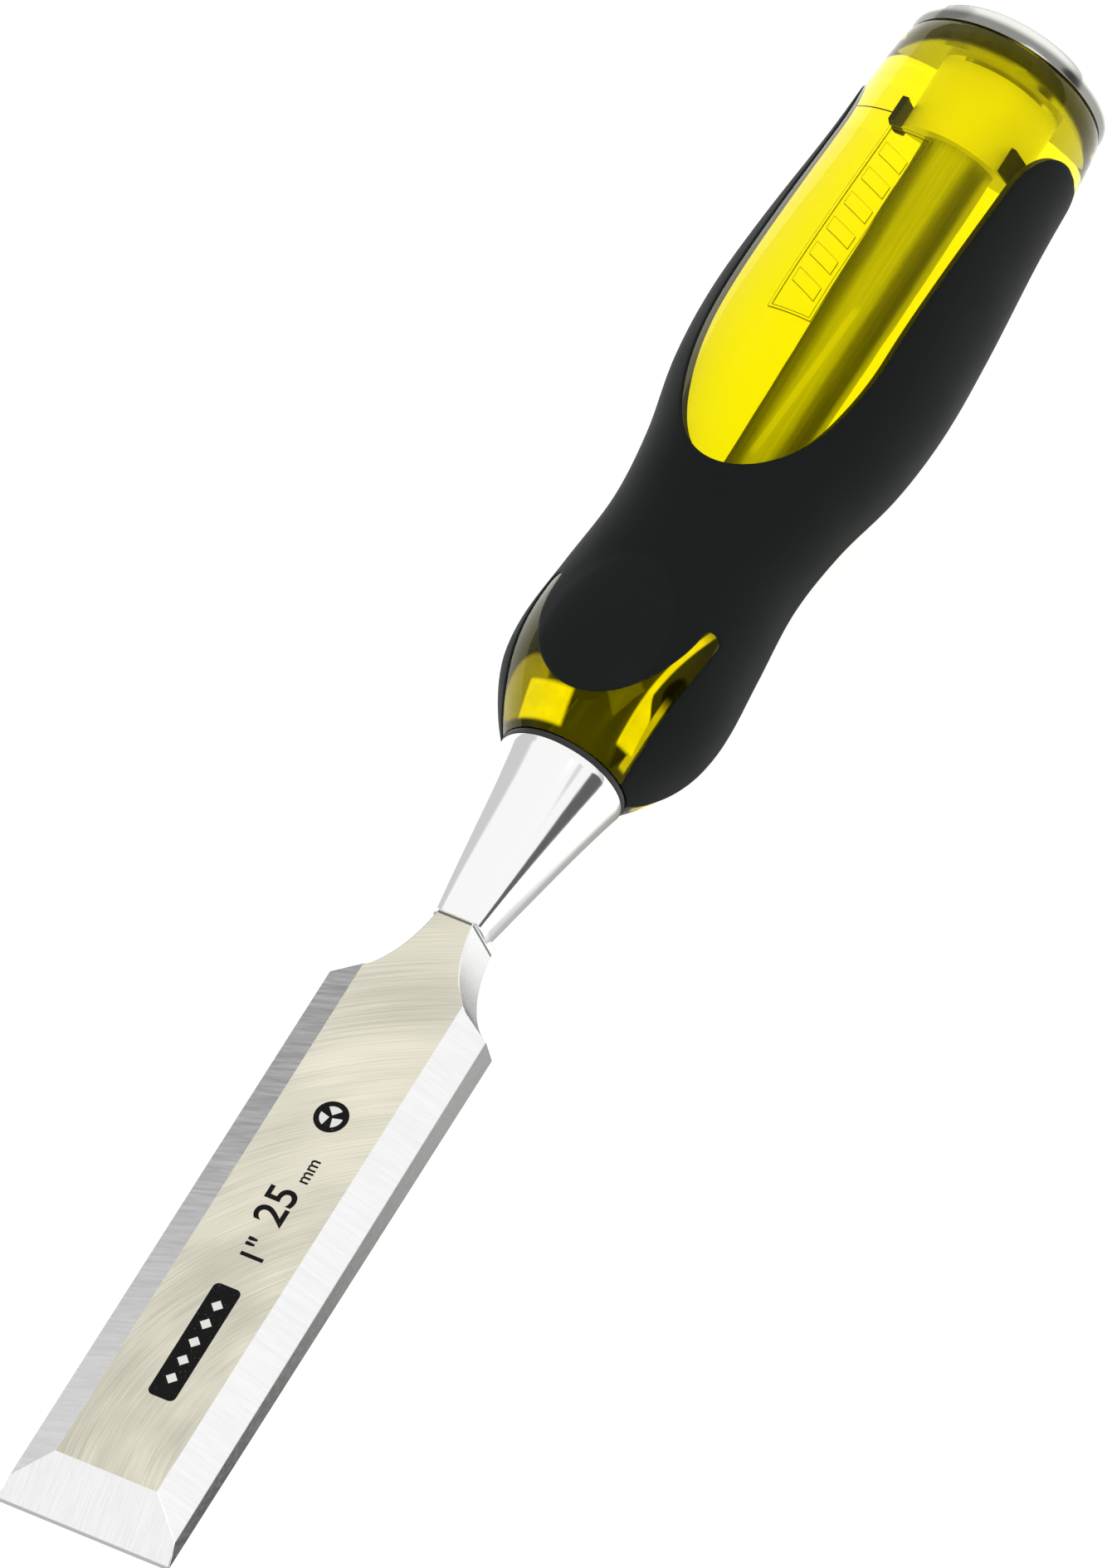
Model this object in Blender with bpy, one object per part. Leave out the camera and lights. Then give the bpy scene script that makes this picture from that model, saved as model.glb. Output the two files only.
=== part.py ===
"""Bench chisel: a forged bevel-edge blade in a clear handle with a soft grip and a steel strike cap.

Units are metres and +Z is up. The tool lies along X with its cutting edge at the +X end and its
bevelled face up, and the origin is under the middle of its box, on the surface that it rests on.
Inside the script a place along the tool is its distance from the cutting edge, in millimetres, and
heights are measured from the handle's axis.
"""
import math

import bmesh
import bpy
from mathutils import Vector

MM = 0.001
GAP = 0.3                      # clearance between pieces that touch

# Whole tool
LENGTH = 241.0
HANDLE_MAX_RADIUS = 17.25
SEGMENTS = 48                  # facets around every round piece

# Blade
BLADE_WIDTH = 25.0
WALL_LEAN = 0.5                # how far each side wall leans in
SIDE_TAPER = 0.0042            # how much each side narrows per millimetre from the edge
FLAT_HALF_WIDTH = 7.35         # ground flat between the two side bevels
BACK_HEIGHT = -2.15            # flat back, below the handle's axis
HEEL = 7.4                     # length of the cutting bevel
HEEL_TOP = 2.3                 # top face at the cutting bevel
TOP_RISE = 0.0194              # rise of the top face per millimetre towards the handle
WALL_TOP = -0.4                # top of the side wall at the cutting edge
WALL_RISE = 0.0229             # rise of the side wall's top per millimetre
SHOULDER = 83.1                # where the full width ends
FLARE = 86.2                   # end of the straight shoulder
FLARE_HALF_WIDTH = 7.6
FLARE_HOLLOW = (89.8, 4.3)     # control point of the hollow flare
NECK_HALF_WIDTH = 3.4
FLARE_DRAFT = 0.28             # how much each flare wall leans in per millimetre of height
FLARE_MIDDLE = 1.0             # height at which the flare has its stated widths
PLAN_DEPTH = 10.0              # how far the outline cutters reach up and down
OVERHANG = 1.5                 # how far cutters and hidden ends run past what they meet

# Bolster and tang
BOLSTER_START = 96.8
BOLSTER_END = 122.3
BOLSTER_HALF_WIDTH = 3.7
BOLSTER_HALF_HEIGHT = 3.35
BOLSTER_RISE = 0.95            # centre of its small end, above the axis
BOLSTER_RADIUS = 8.7
BOLSTER_EDGE = 0.3
TANG_ROOT_RADIUS = 4.6
TANG_NECK_RADIUS = 2.5         # where its root ends; it thickens from here to the plug
TANG_RADIUS = 3.2
TANG_ROOT_END = 135.0
TANG_END = 234.0
TANG_CHAMFER = 0.5

# Handle
WASHER_THICKNESS = 0.5
WASHER_RADIUS = 8.8
RIM = BOLSTER_END + WASHER_THICKNESS + 2 * GAP
CORE_END = 236.9
CORE_EDGE = 0.6
HANDLE_STATIONS = (
    (RIM, 8.9), (126.2, 10.9), (130.2, 13.1), (134.0, 14.4), (139.3, 14.85), (148.0, 14.2),
    (159.5, 13.35), (170.0, 14.3), (181.0, 16.5), (191.3, HANDLE_MAX_RADIUS), (203.0, 16.75),
    (219.0, 15.4), (230.5, 14.8), (CORE_END, 14.2),
)
GRIP_THICKNESS = 2.2
GRIP_TOP = 229.8

# Long window between the two wings of the grip
WINDOW_FOOT = 165.4
WINDOW_FOOT_LENGTH = 23.6
WINDOW_HALF_WIDTH = 12.25
WING_TIP = 219.0
WING_TIP_LENGTH = 10.8
WING_TIP_WIDTH = 4.3

# Short window under the thumb tongue
TONGUE_CENTRE = 143.5
TONGUE_LENGTH = 14.9
TONGUE_HALF_WIDTH = 10.5
LOBE_LENGTH = 28.2
LOBE_HALF_WIDTH = 12.15
LOBE_START_TURN = 35           # past the rim, in degrees

# Anchor lugs, plug and strike cap
LUG_START = 222.5
LUG_LENGTH = 4.0
LUG_HALF_WIDTH = 2.5
LUG_INNER = 5.5                # meets the plug
LUG_OUTER = 14.0
PLUG_START = 222.5
PLUG_RADIUS = 5.2
SPIGOT_RADIUS = 8.6
SPIGOT_START = TANG_END + GAP
CAP_START = CORE_END + GAP
CAP_RADIUS = 14.0
CAP_FLAT_RADIUS = 7.0
CAP_CHAMFER = 0.4
CAP_WALL = 1.6                 # straight part of its side
CAP_RIM_TOP = (240.3, 12.2)    # where the rounded rim meets the dome
CAP_DOME_CONTROL = (240.9, 9.0)

STEEL = ("forged_steel", (0.72, 0.71, 0.68, 1.0), 0.25, 1.0)
CAP_STEEL = ("cap_steel", (0.60, 0.60, 0.58, 1.0), 0.22, 1.0)
CLEAR_YELLOW = ("clear_yellow", (0.95, 0.78, 0.01, 1.0), 0.08, 0.0)
PLUG_YELLOW = ("plug_yellow", (0.93, 0.76, 0.01, 1.0), 0.35, 0.0)
GRIP_BLACK = ("grip_black", (0.02, 0.022, 0.022, 1.0), 0.55, 0.0)
WASHER_BLACK = ("washer_black", (0.012, 0.012, 0.012, 1.0), 0.5, 0.0)


def clear_scene():
    for item in list(bpy.data.objects):
        bpy.data.objects.remove(item, do_unlink=True)


def material(name, colour, roughness, metallic):
    made = bpy.data.materials.new(name)
    made.use_nodes = True
    shader = made.node_tree.nodes["Principled BSDF"]
    shader.inputs["Base Color"].default_value = colour
    shader.inputs["Roughness"].default_value = roughness
    shader.inputs["Metallic"].default_value = metallic
    made.diffuse_color = colour
    return made


def point(along, across, height):
    """A point of the tool: distance from the cutting edge, then across and above the axis."""
    return Vector((-along, across, height)) * MM


def tool_axis():
    """The empty that every piece hangs on: on the handle's axis, over the cutting edge."""
    axis = bpy.data.objects.new("tool_axis", None)
    axis.location = (LENGTH / 2 * MM, 0.0, HANDLE_MAX_RADIUS * MM)
    bpy.context.collection.objects.link(axis)
    return axis


def add_object(name, bm, axis, look=None):
    """Turn a bmesh into an object on the tool's axis; without a look it is a hidden cutter."""
    bmesh.ops.recalc_face_normals(bm, faces=bm.faces)
    mesh = bpy.data.meshes.new(name)
    bm.to_mesh(mesh)
    bm.free()
    made = bpy.data.objects.new(name, mesh)
    bpy.context.collection.objects.link(made)
    made.parent = axis
    if look:
        mesh.materials.append(material(*look))
        mesh.shade_smooth()
        mesh.set_sharp_from_angle(angle=math.radians(30))
    else:
        made.hide_render = True
        made.display_type = "WIRE"
    return made


def combine(target, other, operation):
    step = target.modifiers.new(other.name, "BOOLEAN")
    step.solver = "EXACT"
    step.operation = operation
    step.object = other


def turned(outline, closed):
    """Spin an outline of (distance, radius) points round the axis, closed when it has a bore."""
    bm = bmesh.new()
    points = [bm.verts.new(point(along, 0.0, radius)) for along, radius in outline]
    pairs = list(zip(points, points[1:]))
    if closed:
        pairs.append((points[-1], points[0]))
    edges = [bm.edges.new(pair) for pair in pairs]
    bmesh.ops.spin(bm, geom=points + edges, cent=(0, 0, 0), axis=(1, 0, 0),
                   angle=math.tau, steps=SEGMENTS, use_merge=True)
    bmesh.ops.remove_doubles(bm, verts=bm.verts, dist=0.001 * MM)
    return bm


def lofted(sections):
    """Skin a row of equal-sized point rings and close both ends."""
    bm = bmesh.new()
    rings = [[bm.verts.new(place) for place in section] for section in sections]
    for ring, following in zip(rings, rings[1:]):
        for i in range(len(ring)):
            j = (i + 1) % len(ring)
            bm.faces.new((ring[i], ring[j], following[j], following[i]))
    bm.faces.new(rings[0])
    bm.faces.new(reversed(rings[-1]))
    return bm


def plate(outline, low, high):
    """An outline of (distance, across) points as a plate from one height to another."""
    return lofted([[point(along, across, height) for along, across in outline]
                   for height in (low, high)])


def box(along, across, height):
    """A box from its three (start, end) pairs."""
    corners = ((along[0], across[0]), (along[1], across[0]),
               (along[1], across[1]), (along[0], across[1]))
    return plate(corners, *height)


def both_sides(half):
    """Close half an outline with its mirror image; a point on the centre line stays single."""
    return half + [(along, -across) for along, across in reversed(half) if across > 0]


def arc(centre, lengths, start, end, steps):
    """Points on an ellipse with its centre and half lengths given as (distance, across)."""
    turns = (math.radians(start + (end - start) * i / steps) for i in range(steps + 1))
    return [(centre[0] + lengths[0] * math.cos(turn), centre[1] + lengths[1] * math.sin(turn))
            for turn in turns]


def bezier(start, control, end, steps):
    """Points on a quadratic curve."""
    curve = []
    for i in range(steps + 1):
        t = i / steps
        curve.append(tuple((1 - t) ** 2 * a + 2 * t * (1 - t) * b + t * t * c
                           for a, b, c in zip(start, control, end)))
    return curve


def handle_radius(along):
    """The handle's outer radius: a smooth curve through its stations, level before the rim."""
    stations = HANDLE_STATIONS
    along = max(along, RIM)
    i = 0
    while i < len(stations) - 2 and along > stations[i + 1][0]:
        i += 1

    def slope(k):
        before, after = stations[max(k - 1, 0)], stations[min(k + 1, len(stations) - 1)]
        return (after[1] - before[1]) / (after[0] - before[0])

    (start, low), (end, high) = stations[i], stations[i + 1]
    span = end - start
    t = (along - start) / span
    return ((2 * t ** 3 - 3 * t ** 2 + 1) * low + (t ** 3 - 2 * t ** 2 + t) * span * slope(i)
            + (3 * t ** 2 - 2 * t ** 3) * high + (t ** 3 - t ** 2) * span * slope(i + 1))


def handle_profile(start, end, inset=0.0):
    """The handle's outline from one distance to another, moved in by the inset."""
    stations = [along for along, _ in HANDLE_STATIONS]
    places = stations + [(low + high) / 2 for low, high in zip(stations, stations[1:])]
    places = [start] + sorted(place for place in places if start < place < end) + [end]
    return [(place, handle_radius(place) - inset) for place in places]


def window_outline(shrink):
    """The long window, seen from above, from its round foot up past both wing tips."""
    half_width = WINDOW_HALF_WIDTH - shrink
    length = WINDOW_FOOT_LENGTH - shrink
    foot = arc((WINDOW_FOOT + WINDOW_FOOT_LENGTH, 0.0), (-length, half_width), 0, 90, 12)
    tip = arc((WING_TIP, half_width + WING_TIP_WIDTH + shrink),
              (WING_TIP_LENGTH + shrink, -WING_TIP_WIDTH - shrink), 90, 0, 8)
    outer = (tip[-1][0], 2 * HANDLE_MAX_RADIUS)
    top = (2 * LENGTH, 2 * HANDLE_MAX_RADIUS)
    return both_sides(foot + tip + [outer, top])


def tongue_outline(shrink):
    """The short window round the tongue, seen from above, open at the rim."""
    lobe_half_width = LOBE_HALF_WIDTH - shrink
    lobe_length = LOBE_LENGTH - shrink
    tongue_half_width = TONGUE_HALF_WIDTH + shrink
    tongue_length = TONGUE_LENGTH + shrink
    lobe = arc((TONGUE_CENTRE, 0.0), (-lobe_length, lobe_half_width),
               LOBE_START_TURN, 90, 12)
    middle = (lobe_half_width + tongue_half_width) / 2
    end_radius = (lobe_half_width - tongue_half_width) / 2
    apex = arc((TONGUE_CENTRE, middle), (end_radius, end_radius), 90, -90, 4)
    tongue = arc((TONGUE_CENTRE, 0.0), (-tongue_length, tongue_half_width), 90, 0, 12)
    return both_sides(lobe + apex[1:-1] + tongue)


def blade_bar():
    """The full-width bar: flat back, leaning side walls, two side bevels and the ground flat."""
    sections = []
    for along in (-OVERHANG, BOLSTER_START + OVERHANG):
        side = BLADE_WIDTH / 2 - SIDE_TAPER * along
        wall_top = WALL_TOP + WALL_RISE * along
        top = HEEL_TOP + TOP_RISE * (along - HEEL)
        half = [(side, BACK_HEIGHT), (side - WALL_LEAN, wall_top), (FLAT_HALF_WIDTH, top)]
        ring = half + [(-across, height) for across, height in reversed(half)]
        sections.append([point(along, across, height) for across, height in ring])
    return lofted(sections)


def cut_edge(bm):
    """Grind the cutting bevel: cut the bar along the plane from the edge to the heel."""
    edge = point(0.0, 0.0, BACK_HEIGHT)
    heel = point(HEEL, 0.0, HEEL_TOP)
    normal = Vector((0.0, 1.0, 0.0)).cross(heel - edge)
    if normal.z < 0:
        normal.negate()
    cut = bmesh.ops.bisect_plane(bm, geom=bm.verts[:] + bm.edges[:] + bm.faces[:],
                                 plane_co=edge, plane_no=normal, clear_outer=True)
    edges = [item for item in cut["geom_cut"] if isinstance(item, bmesh.types.BMEdge)]
    bmesh.ops.edgeloop_fill(bm, edges=edges)


def blade_plan(height):
    """The blade's outline at a height: past the edge, shoulders, hollow flare and neck."""
    lean = FLARE_DRAFT * (height - FLARE_MIDDLE)
    slope = (FLARE - SHOULDER) / (BLADE_WIDTH / 2 - FLARE_HALF_WIDTH)
    outside = BLADE_WIDTH / 2 + OVERHANG
    shoulder = (SHOULDER - OVERHANG * slope, outside)
    flare = bezier((FLARE, FLARE_HALF_WIDTH), FLARE_HOLLOW, (BOLSTER_START, NECK_HALF_WIDTH), 8)
    flare.append((BOLSTER_START + 1.0, NECK_HALF_WIDTH))
    leaning = [(along, across - lean) for along, across in flare]
    return both_sides([(-2 * OVERHANG, outside), shoulder] + leaning)


def bolster_section(t):
    """A ring of the bolster: a rounded rectangle at the neck that turns into a circle."""
    grow = 0.85 * t + 0.15 * t * t
    half_width = BOLSTER_HALF_WIDTH + (BOLSTER_RADIUS - BOLSTER_HALF_WIDTH) * grow
    half_height = BOLSTER_HALF_HEIGHT + (BOLSTER_RADIUS - BOLSTER_HALF_HEIGHT) * grow
    rise = BOLSTER_RISE * (1 - t)
    power = 2 / (2 + 3 * (1 - t) ** 2)
    along = BOLSTER_START + (BOLSTER_END - BOLSTER_EDGE - BOLSTER_START) * t
    ring = []
    for i in range(SEGMENTS):
        turn = math.tau * i / SEGMENTS
        across, height = math.sin(turn), math.cos(turn)
        ring.append(point(along, half_width * math.copysign(abs(across) ** power, across),
                          rise + half_height * math.copysign(abs(height) ** power, height)))
    return ring


def circle(along, radius):
    return [point(along, radius * math.sin(math.tau * i / SEGMENTS),
                  radius * math.cos(math.tau * i / SEGMENTS)) for i in range(SEGMENTS)]


def blade_forging(axis):
    """Blade, neck, bolster and tang, forged in one piece."""
    bar = blade_bar()
    cut_edge(bar)
    block = lofted([[point(along, across, height) for along, across in blade_plan(height)]
                    for height in (-PLAN_DEPTH, PLAN_DEPTH)])
    plan = add_object("blade_plan", block, axis)
    blade = add_object("blade_bar", bar, axis)
    combine(blade, plan, "INTERSECT")
    sections = [bolster_section(i / 8) for i in range(9)]
    for along, radius in ((BOLSTER_END, BOLSTER_RADIUS - BOLSTER_EDGE),
                          (BOLSTER_END, TANG_ROOT_RADIUS), (TANG_ROOT_END, TANG_NECK_RADIUS),
                          (PLUG_START - GAP, TANG_RADIUS), (TANG_END - TANG_CHAMFER, TANG_RADIUS),
                          (TANG_END, TANG_RADIUS - TANG_CHAMFER)):
        sections.append(circle(along, radius))
    forging = add_object("blade_forging", lofted(sections), axis, STEEL)
    combine(forging, blade, "UNION")


def bolster_washer(axis):
    """The thin black ring between the bolster and the handle."""
    start = BOLSTER_END + GAP
    end = start + WASHER_THICKNESS
    bore = TANG_ROOT_RADIUS + GAP
    outline = ((start, bore), (start, WASHER_RADIUS), (end, WASHER_RADIUS), (end, bore))
    add_object("bolster_washer", turned(outline, closed=True), axis, WASHER_BLACK)


def grip_sleeve(start, end, outer, inner):
    """A sleeve that follows the handle, between two offsets from its surface."""
    outside = handle_profile(start, end, outer)
    inside = handle_profile(start, end, inner)
    return turned(outside + inside[::-1], closed=True)


def lugs(name, clearance, axis):
    """The two anchor lugs, one under each wing tip, or with clearance their pockets."""
    pair = []
    for side in (-1, 1):
        across = sorted((side * (LUG_INNER - clearance), side * LUG_OUTER))
        shape = box((LUG_START - clearance, LUG_START + LUG_LENGTH + clearance), across,
                    (-LUG_HALF_WIDTH - clearance, LUG_HALF_WIDTH + clearance))
        pair.append(add_object(f"{name}_{'left' if side < 0 else 'right'}", shape, axis))
    return pair


def grip(axis):
    """The soft grip: a waist band, two wings, two tongues and two side lobes."""
    depth = 2 * HANDLE_MAX_RADIUS
    window = add_object("grip_window", plate(window_outline(0.0), -depth, depth), axis)
    tongue = add_object("grip_tongue", plate(tongue_outline(0.0), -depth, depth), axis)
    sleeve = add_object("grip", grip_sleeve(RIM, GRIP_TOP, 0.0, GRIP_THICKNESS), axis, GRIP_BLACK)
    combine(sleeve, window, "DIFFERENCE")
    combine(sleeve, tongue, "DIFFERENCE")
    for lug in lugs("lug", 0.0, axis):
        combine(sleeve, lug, "UNION")


def handle_core(axis):
    """The clear moulding: bored for the tang, stepped for the plug and the cap, cut for the grip."""
    bore = TANG_RADIUS + GAP
    plug_bore = PLUG_RADIUS + GAP
    spigot_bore = SPIGOT_RADIUS + GAP
    outline = [(RIM, TANG_ROOT_RADIUS + GAP)]
    outline += handle_profile(RIM, CORE_END - CORE_EDGE)
    outline += [(CORE_END, handle_radius(CORE_END) - CORE_EDGE), (CORE_END, spigot_bore),
                (TANG_END, spigot_bore), (TANG_END, plug_bore), (PLUG_START - GAP, plug_bore),
                (PLUG_START - GAP, bore), (TANG_ROOT_END, TANG_NECK_RADIUS + GAP)]
    core = add_object("handle_core", turned(outline, closed=True), axis, CLEAR_YELLOW)
    depth = 2 * HANDLE_MAX_RADIUS
    window = add_object("core_window", plate(window_outline(GAP), -depth, depth), axis)
    tongue = add_object("core_tongue", plate(tongue_outline(GAP), -depth, depth), axis)
    relief = add_object(
        "core_relief", grip_sleeve(RIM - OVERHANG, GRIP_TOP + GAP, -OVERHANG, GRIP_THICKNESS + GAP), axis)
    combine(relief, window, "DIFFERENCE")
    combine(relief, tongue, "DIFFERENCE")
    combine(core, relief, "DIFFERENCE")
    for pocket in lugs("lug_pocket", GAP, axis):
        combine(core, pocket, "DIFFERENCE")


def end_plug(axis):
    """The opaque sleeve round the end of the tang."""
    bore = TANG_RADIUS + GAP
    outline = ((PLUG_START, bore), (PLUG_START, PLUG_RADIUS), (TANG_END, PLUG_RADIUS),
               (TANG_END, bore))
    add_object("end_plug", turned(outline, closed=True), axis, PLUG_YELLOW)


def strike_cap(axis):
    """The steel cap: a spigot in the handle's end, a rounded rim, a low dome and a small flat."""
    rim = bezier((CAP_START + CAP_WALL, CAP_RADIUS), (CAP_RIM_TOP[0], CAP_RADIUS), CAP_RIM_TOP, 5)
    dome = bezier(CAP_RIM_TOP, CAP_DOME_CONTROL, (LENGTH, CAP_FLAT_RADIUS), 3)
    outline = [(SPIGOT_START, 0.0), (SPIGOT_START, SPIGOT_RADIUS), (CAP_START, SPIGOT_RADIUS),
               (CAP_START, CAP_RADIUS - CAP_CHAMFER), (CAP_START + CAP_CHAMFER, CAP_RADIUS)]
    outline += rim + dome[1:] + [(LENGTH, 0.0)]
    add_object("strike_cap", turned(outline, closed=False), axis, CAP_STEEL)


def main():
    clear_scene()
    axis = tool_axis()
    blade_forging(axis)
    bolster_washer(axis)
    handle_core(axis)
    grip(axis)
    end_plug(axis)
    strike_cap(axis)


main()
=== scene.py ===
"""Bench chisel: finished pieces, materials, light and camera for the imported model.

Metres, +X along the tool towards the cutting edge, +Z out of the bevelled face. A place along the
tool is given as its distance from the cutting edge, and a height from the handle's axis.
"""
import math

import bmesh
import bpy
from mathutils import Matrix, Vector
from mathutils.geometry import delaunay_2d_cdt


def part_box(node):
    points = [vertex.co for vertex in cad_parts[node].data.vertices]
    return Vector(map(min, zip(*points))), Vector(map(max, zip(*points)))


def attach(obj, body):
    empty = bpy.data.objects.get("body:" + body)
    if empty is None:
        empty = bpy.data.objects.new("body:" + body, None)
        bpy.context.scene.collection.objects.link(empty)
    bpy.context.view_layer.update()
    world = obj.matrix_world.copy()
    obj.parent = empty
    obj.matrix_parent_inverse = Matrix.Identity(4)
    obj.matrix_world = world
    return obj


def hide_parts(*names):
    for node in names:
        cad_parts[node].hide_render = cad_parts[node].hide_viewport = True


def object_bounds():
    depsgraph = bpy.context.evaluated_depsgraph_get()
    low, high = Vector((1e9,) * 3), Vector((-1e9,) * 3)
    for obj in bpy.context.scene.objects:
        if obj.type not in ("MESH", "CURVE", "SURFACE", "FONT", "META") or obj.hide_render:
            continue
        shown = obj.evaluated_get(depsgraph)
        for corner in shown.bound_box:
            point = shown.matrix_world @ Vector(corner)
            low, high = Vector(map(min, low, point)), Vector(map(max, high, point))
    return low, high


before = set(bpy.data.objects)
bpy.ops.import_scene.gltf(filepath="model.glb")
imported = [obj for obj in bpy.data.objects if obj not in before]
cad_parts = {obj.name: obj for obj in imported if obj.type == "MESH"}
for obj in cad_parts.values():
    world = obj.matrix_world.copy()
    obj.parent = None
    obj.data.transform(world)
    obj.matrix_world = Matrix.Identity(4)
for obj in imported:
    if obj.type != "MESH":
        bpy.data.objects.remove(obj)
CAD_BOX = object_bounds()

bl_info = {
    "name": "Bench chisel",
    "version": (1, 0, 0),
    "blender": (4, 5, 0),
    "location": "3D View > Sidebar > Chisel",
    "description": "Builds the finished pieces of a bevel-edge chisel on its packed model",
    "category": "Add Mesh",
}

MM = 0.001
RING_SEGMENTS = 160
EDGE_X = CAD_BOX[1][0]
CAP_X = CAD_BOX[0][0]
AXIS_Z = (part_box("strike_cap")[0][2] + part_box("strike_cap")[1][2]) / 2
LENGTH = (EDGE_X - CAP_X) / MM
BLADE_WIDTH = (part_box("blade_forging")[1][1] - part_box("blade_forging")[0][1]) / MM
HANDLE_MAX_RADIUS = (CAD_BOX[1][2] - CAD_BOX[0][2]) / 2 / MM
RIM = (EDGE_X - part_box("handle_core")[1][0]) / MM
CORE_END = (EDGE_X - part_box("handle_core")[0][0]) / MM
TANG_END = (EDGE_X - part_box("blade_forging")[0][0]) / MM
PLUG_START = (EDGE_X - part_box("end_plug")[1][0]) / MM
PLUG_RADIUS = (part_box("end_plug")[1][1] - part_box("end_plug")[0][1]) / 2 / MM
CAP_RADIUS = (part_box("strike_cap")[1][1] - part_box("strike_cap")[0][1]) / 2 / MM
SPIGOT_START = (EDGE_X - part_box("strike_cap")[1][0]) / MM
WASHER_RADIUS = (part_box("bolster_washer")[1][1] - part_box("bolster_washer")[0][1]) / 2 / MM

# Blade
WHEEL_CENTRE = (14.0, 38.0)     # of the hairlines on the flat: distance and place across
WALL_LEAN = 0.5
SIDE_TAPER = 0.0042             # how much each side narrows per millimetre
FLAT_HALF_WIDTH = 7.35
BACK_HEIGHT = -2.15
HEEL = 7.4
HEEL_TOP = 2.3
TOP_RISE = 0.0194
WALL_TOP = -0.4
WALL_RISE = 0.0229
SHOULDER = 83.1
FLARE = 86.2
FLARE_HALF_WIDTH = 7.6
FLARE_HOLLOW = (89.8, 4.3)
NECK_HALF_WIDTH = 3.4
FLARE_DRAFT = 0.28
FLARE_MIDDLE = 1.0

# Bolster and tang
BOLSTER_START = 96.8
BOLSTER_END = 122.6
BOLSTER_HALF_WIDTH = 3.7
BOLSTER_HALF_HEIGHT = 3.35
BOLSTER_RISE = 0.95
BOLSTER_RADIUS = 8.75
BOLSTER_EDGE = 0.3
BOLSTER_SQUARENESS = 1.6        # how far its neck is from a plain oval
TANG_NECK_RADIUS = 2.45         # where its root ends; it thickens from here to the plug
TANG_RADIUS = 3.15
TANG_ROOT_RADIUS = 4.5
TANG_ROOT_END = 135.0
BORE_OVERLAP = 0.15             # the core is moulded on the tang, so no air shows between them

# Handle
HANDLE_STATIONS = (
    (RIM, 8.9), (126.2, 10.9), (130.2, 13.1), (134.0, 14.4), (139.3, 14.85), (148.0, 14.2),
    (159.5, 13.35), (170.0, 14.3), (181.0, 16.5), (191.3, HANDLE_MAX_RADIUS), (203.0, 16.75),
    (219.0, 15.4), (230.5, 14.8), (CORE_END, 14.2),
)
CORE_EDGE = 0.9
GRIP_THICKNESS = 2.2
WINDOW_FOOT = 165.4
WINDOW_FOOT_LENGTH = 23.6
WINDOW_HALF_WIDTH = 12.25
WING_TIP = 219.0
WING_TIP_LENGTH = 10.8
WING_TIP_WIDTH = 4.3
TONGUE_CENTRE = 143.5
TONGUE_LENGTH = 14.9
TONGUE_HALF_WIDTH = 10.5
LOBE_LENGTH = 28.2
LOBE_HALF_WIDTH = 12.15
LUG_START = 222.5
LUG_LENGTH = 4.0
LUG_HALF_WIDTH = 3.2
LUG_INNER = 5.5
LUG_HEAD = 6.1
LUG_TIE = 0.08
LUG_OUTER = 13.6
SPIGOT_RADIUS = 8.6
SPIGOT_SHOULDER = 235.7         # from here to the cap the spigot is painted near-black as shade
CAP_FLAT_RADIUS = 7.0
CAP_RIM_TOP = (240.35, 12.2)
CAP_DOME_CONTROL = (240.9, 9.4)
PAD_CENTRE = 137.0
PAD_LENGTH = 11.5
PAD_WIDTH = 8.0
PAD_HEIGHT = 0.16

# Raised frame and bars on the core's front: middle, half sizes, line and row of bars
EMBOSS_PLACE = (202.5, -0.6)
EMBOSS_LENGTH = 15.5
EMBOSS_WIDTH = 2.9
EMBOSS_LINE = 0.2
EMBOSS_HEIGHT = 0.28
EMBOSS_BARS = 6
EMBOSS_PITCH = 4.4

# View
TURN = math.radians(24.0)      # round the tool's axis, from the bevelled face to +Y
TILT = math.radians(25.5)      # along the axis, the cutting edge towards the viewer
ROLL = math.radians(32.75)     # of the axis in the view, from upright
VIEW_DISTANCE = 6.0
VIEW_HEIGHT = 196.8            # height of the view at the tool
VIEW_MIDDLE = (137.45, -8.2, -12.1)


def point(along, across, height):
    """A point of the tool in the frame, from millimetres."""
    return Vector((EDGE_X - along * MM, across * MM, AXIS_Z + height * MM))


def round_point(along, radius, turn):
    """A point at a radius from the axis, turned from +Z towards +Y."""
    return point(along, radius * math.sin(turn), radius * math.cos(turn))


def arc(centre, lengths, start, end, steps):
    """Points on an ellipse with its centre and half lengths given as (distance, across)."""
    turns = (math.radians(start + (end - start) * i / steps) for i in range(steps + 1))
    return [(centre[0] + lengths[0] * math.cos(turn), centre[1] + lengths[1] * math.sin(turn))
            for turn in turns]


def bezier(start, control, end, steps):
    """Points on a quadratic curve."""
    curve = []
    for i in range(steps + 1):
        t = i / steps
        curve.append(tuple((1 - t) ** 2 * a + 2 * t * (1 - t) * b + t * t * c
                           for a, b, c in zip(start, control, end)))
    return curve


def handle_radius(along):
    """The handle's outer radius: a smooth curve through its stations."""
    stations = HANDLE_STATIONS
    along = min(max(along, stations[0][0]), stations[-1][0])
    i = 0
    while i < len(stations) - 2 and along > stations[i + 1][0]:
        i += 1

    def slope(k):
        before, after = stations[max(k - 1, 0)], stations[min(k + 1, len(stations) - 1)]
        return (after[1] - before[1]) / (after[0] - before[0])

    (start, low), (end, high) = stations[i], stations[i + 1]
    span = end - start
    t = (along - start) / span
    return ((2 * t ** 3 - 3 * t ** 2 + 1) * low + (t ** 3 - 2 * t ** 2 + t) * span * slope(i)
            + (3 * t ** 2 - 2 * t ** 3) * high + (t ** 3 - t ** 2) * span * slope(i + 1))


# ---------------------------------------------------------------------------------------------
# Shader maths


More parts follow.
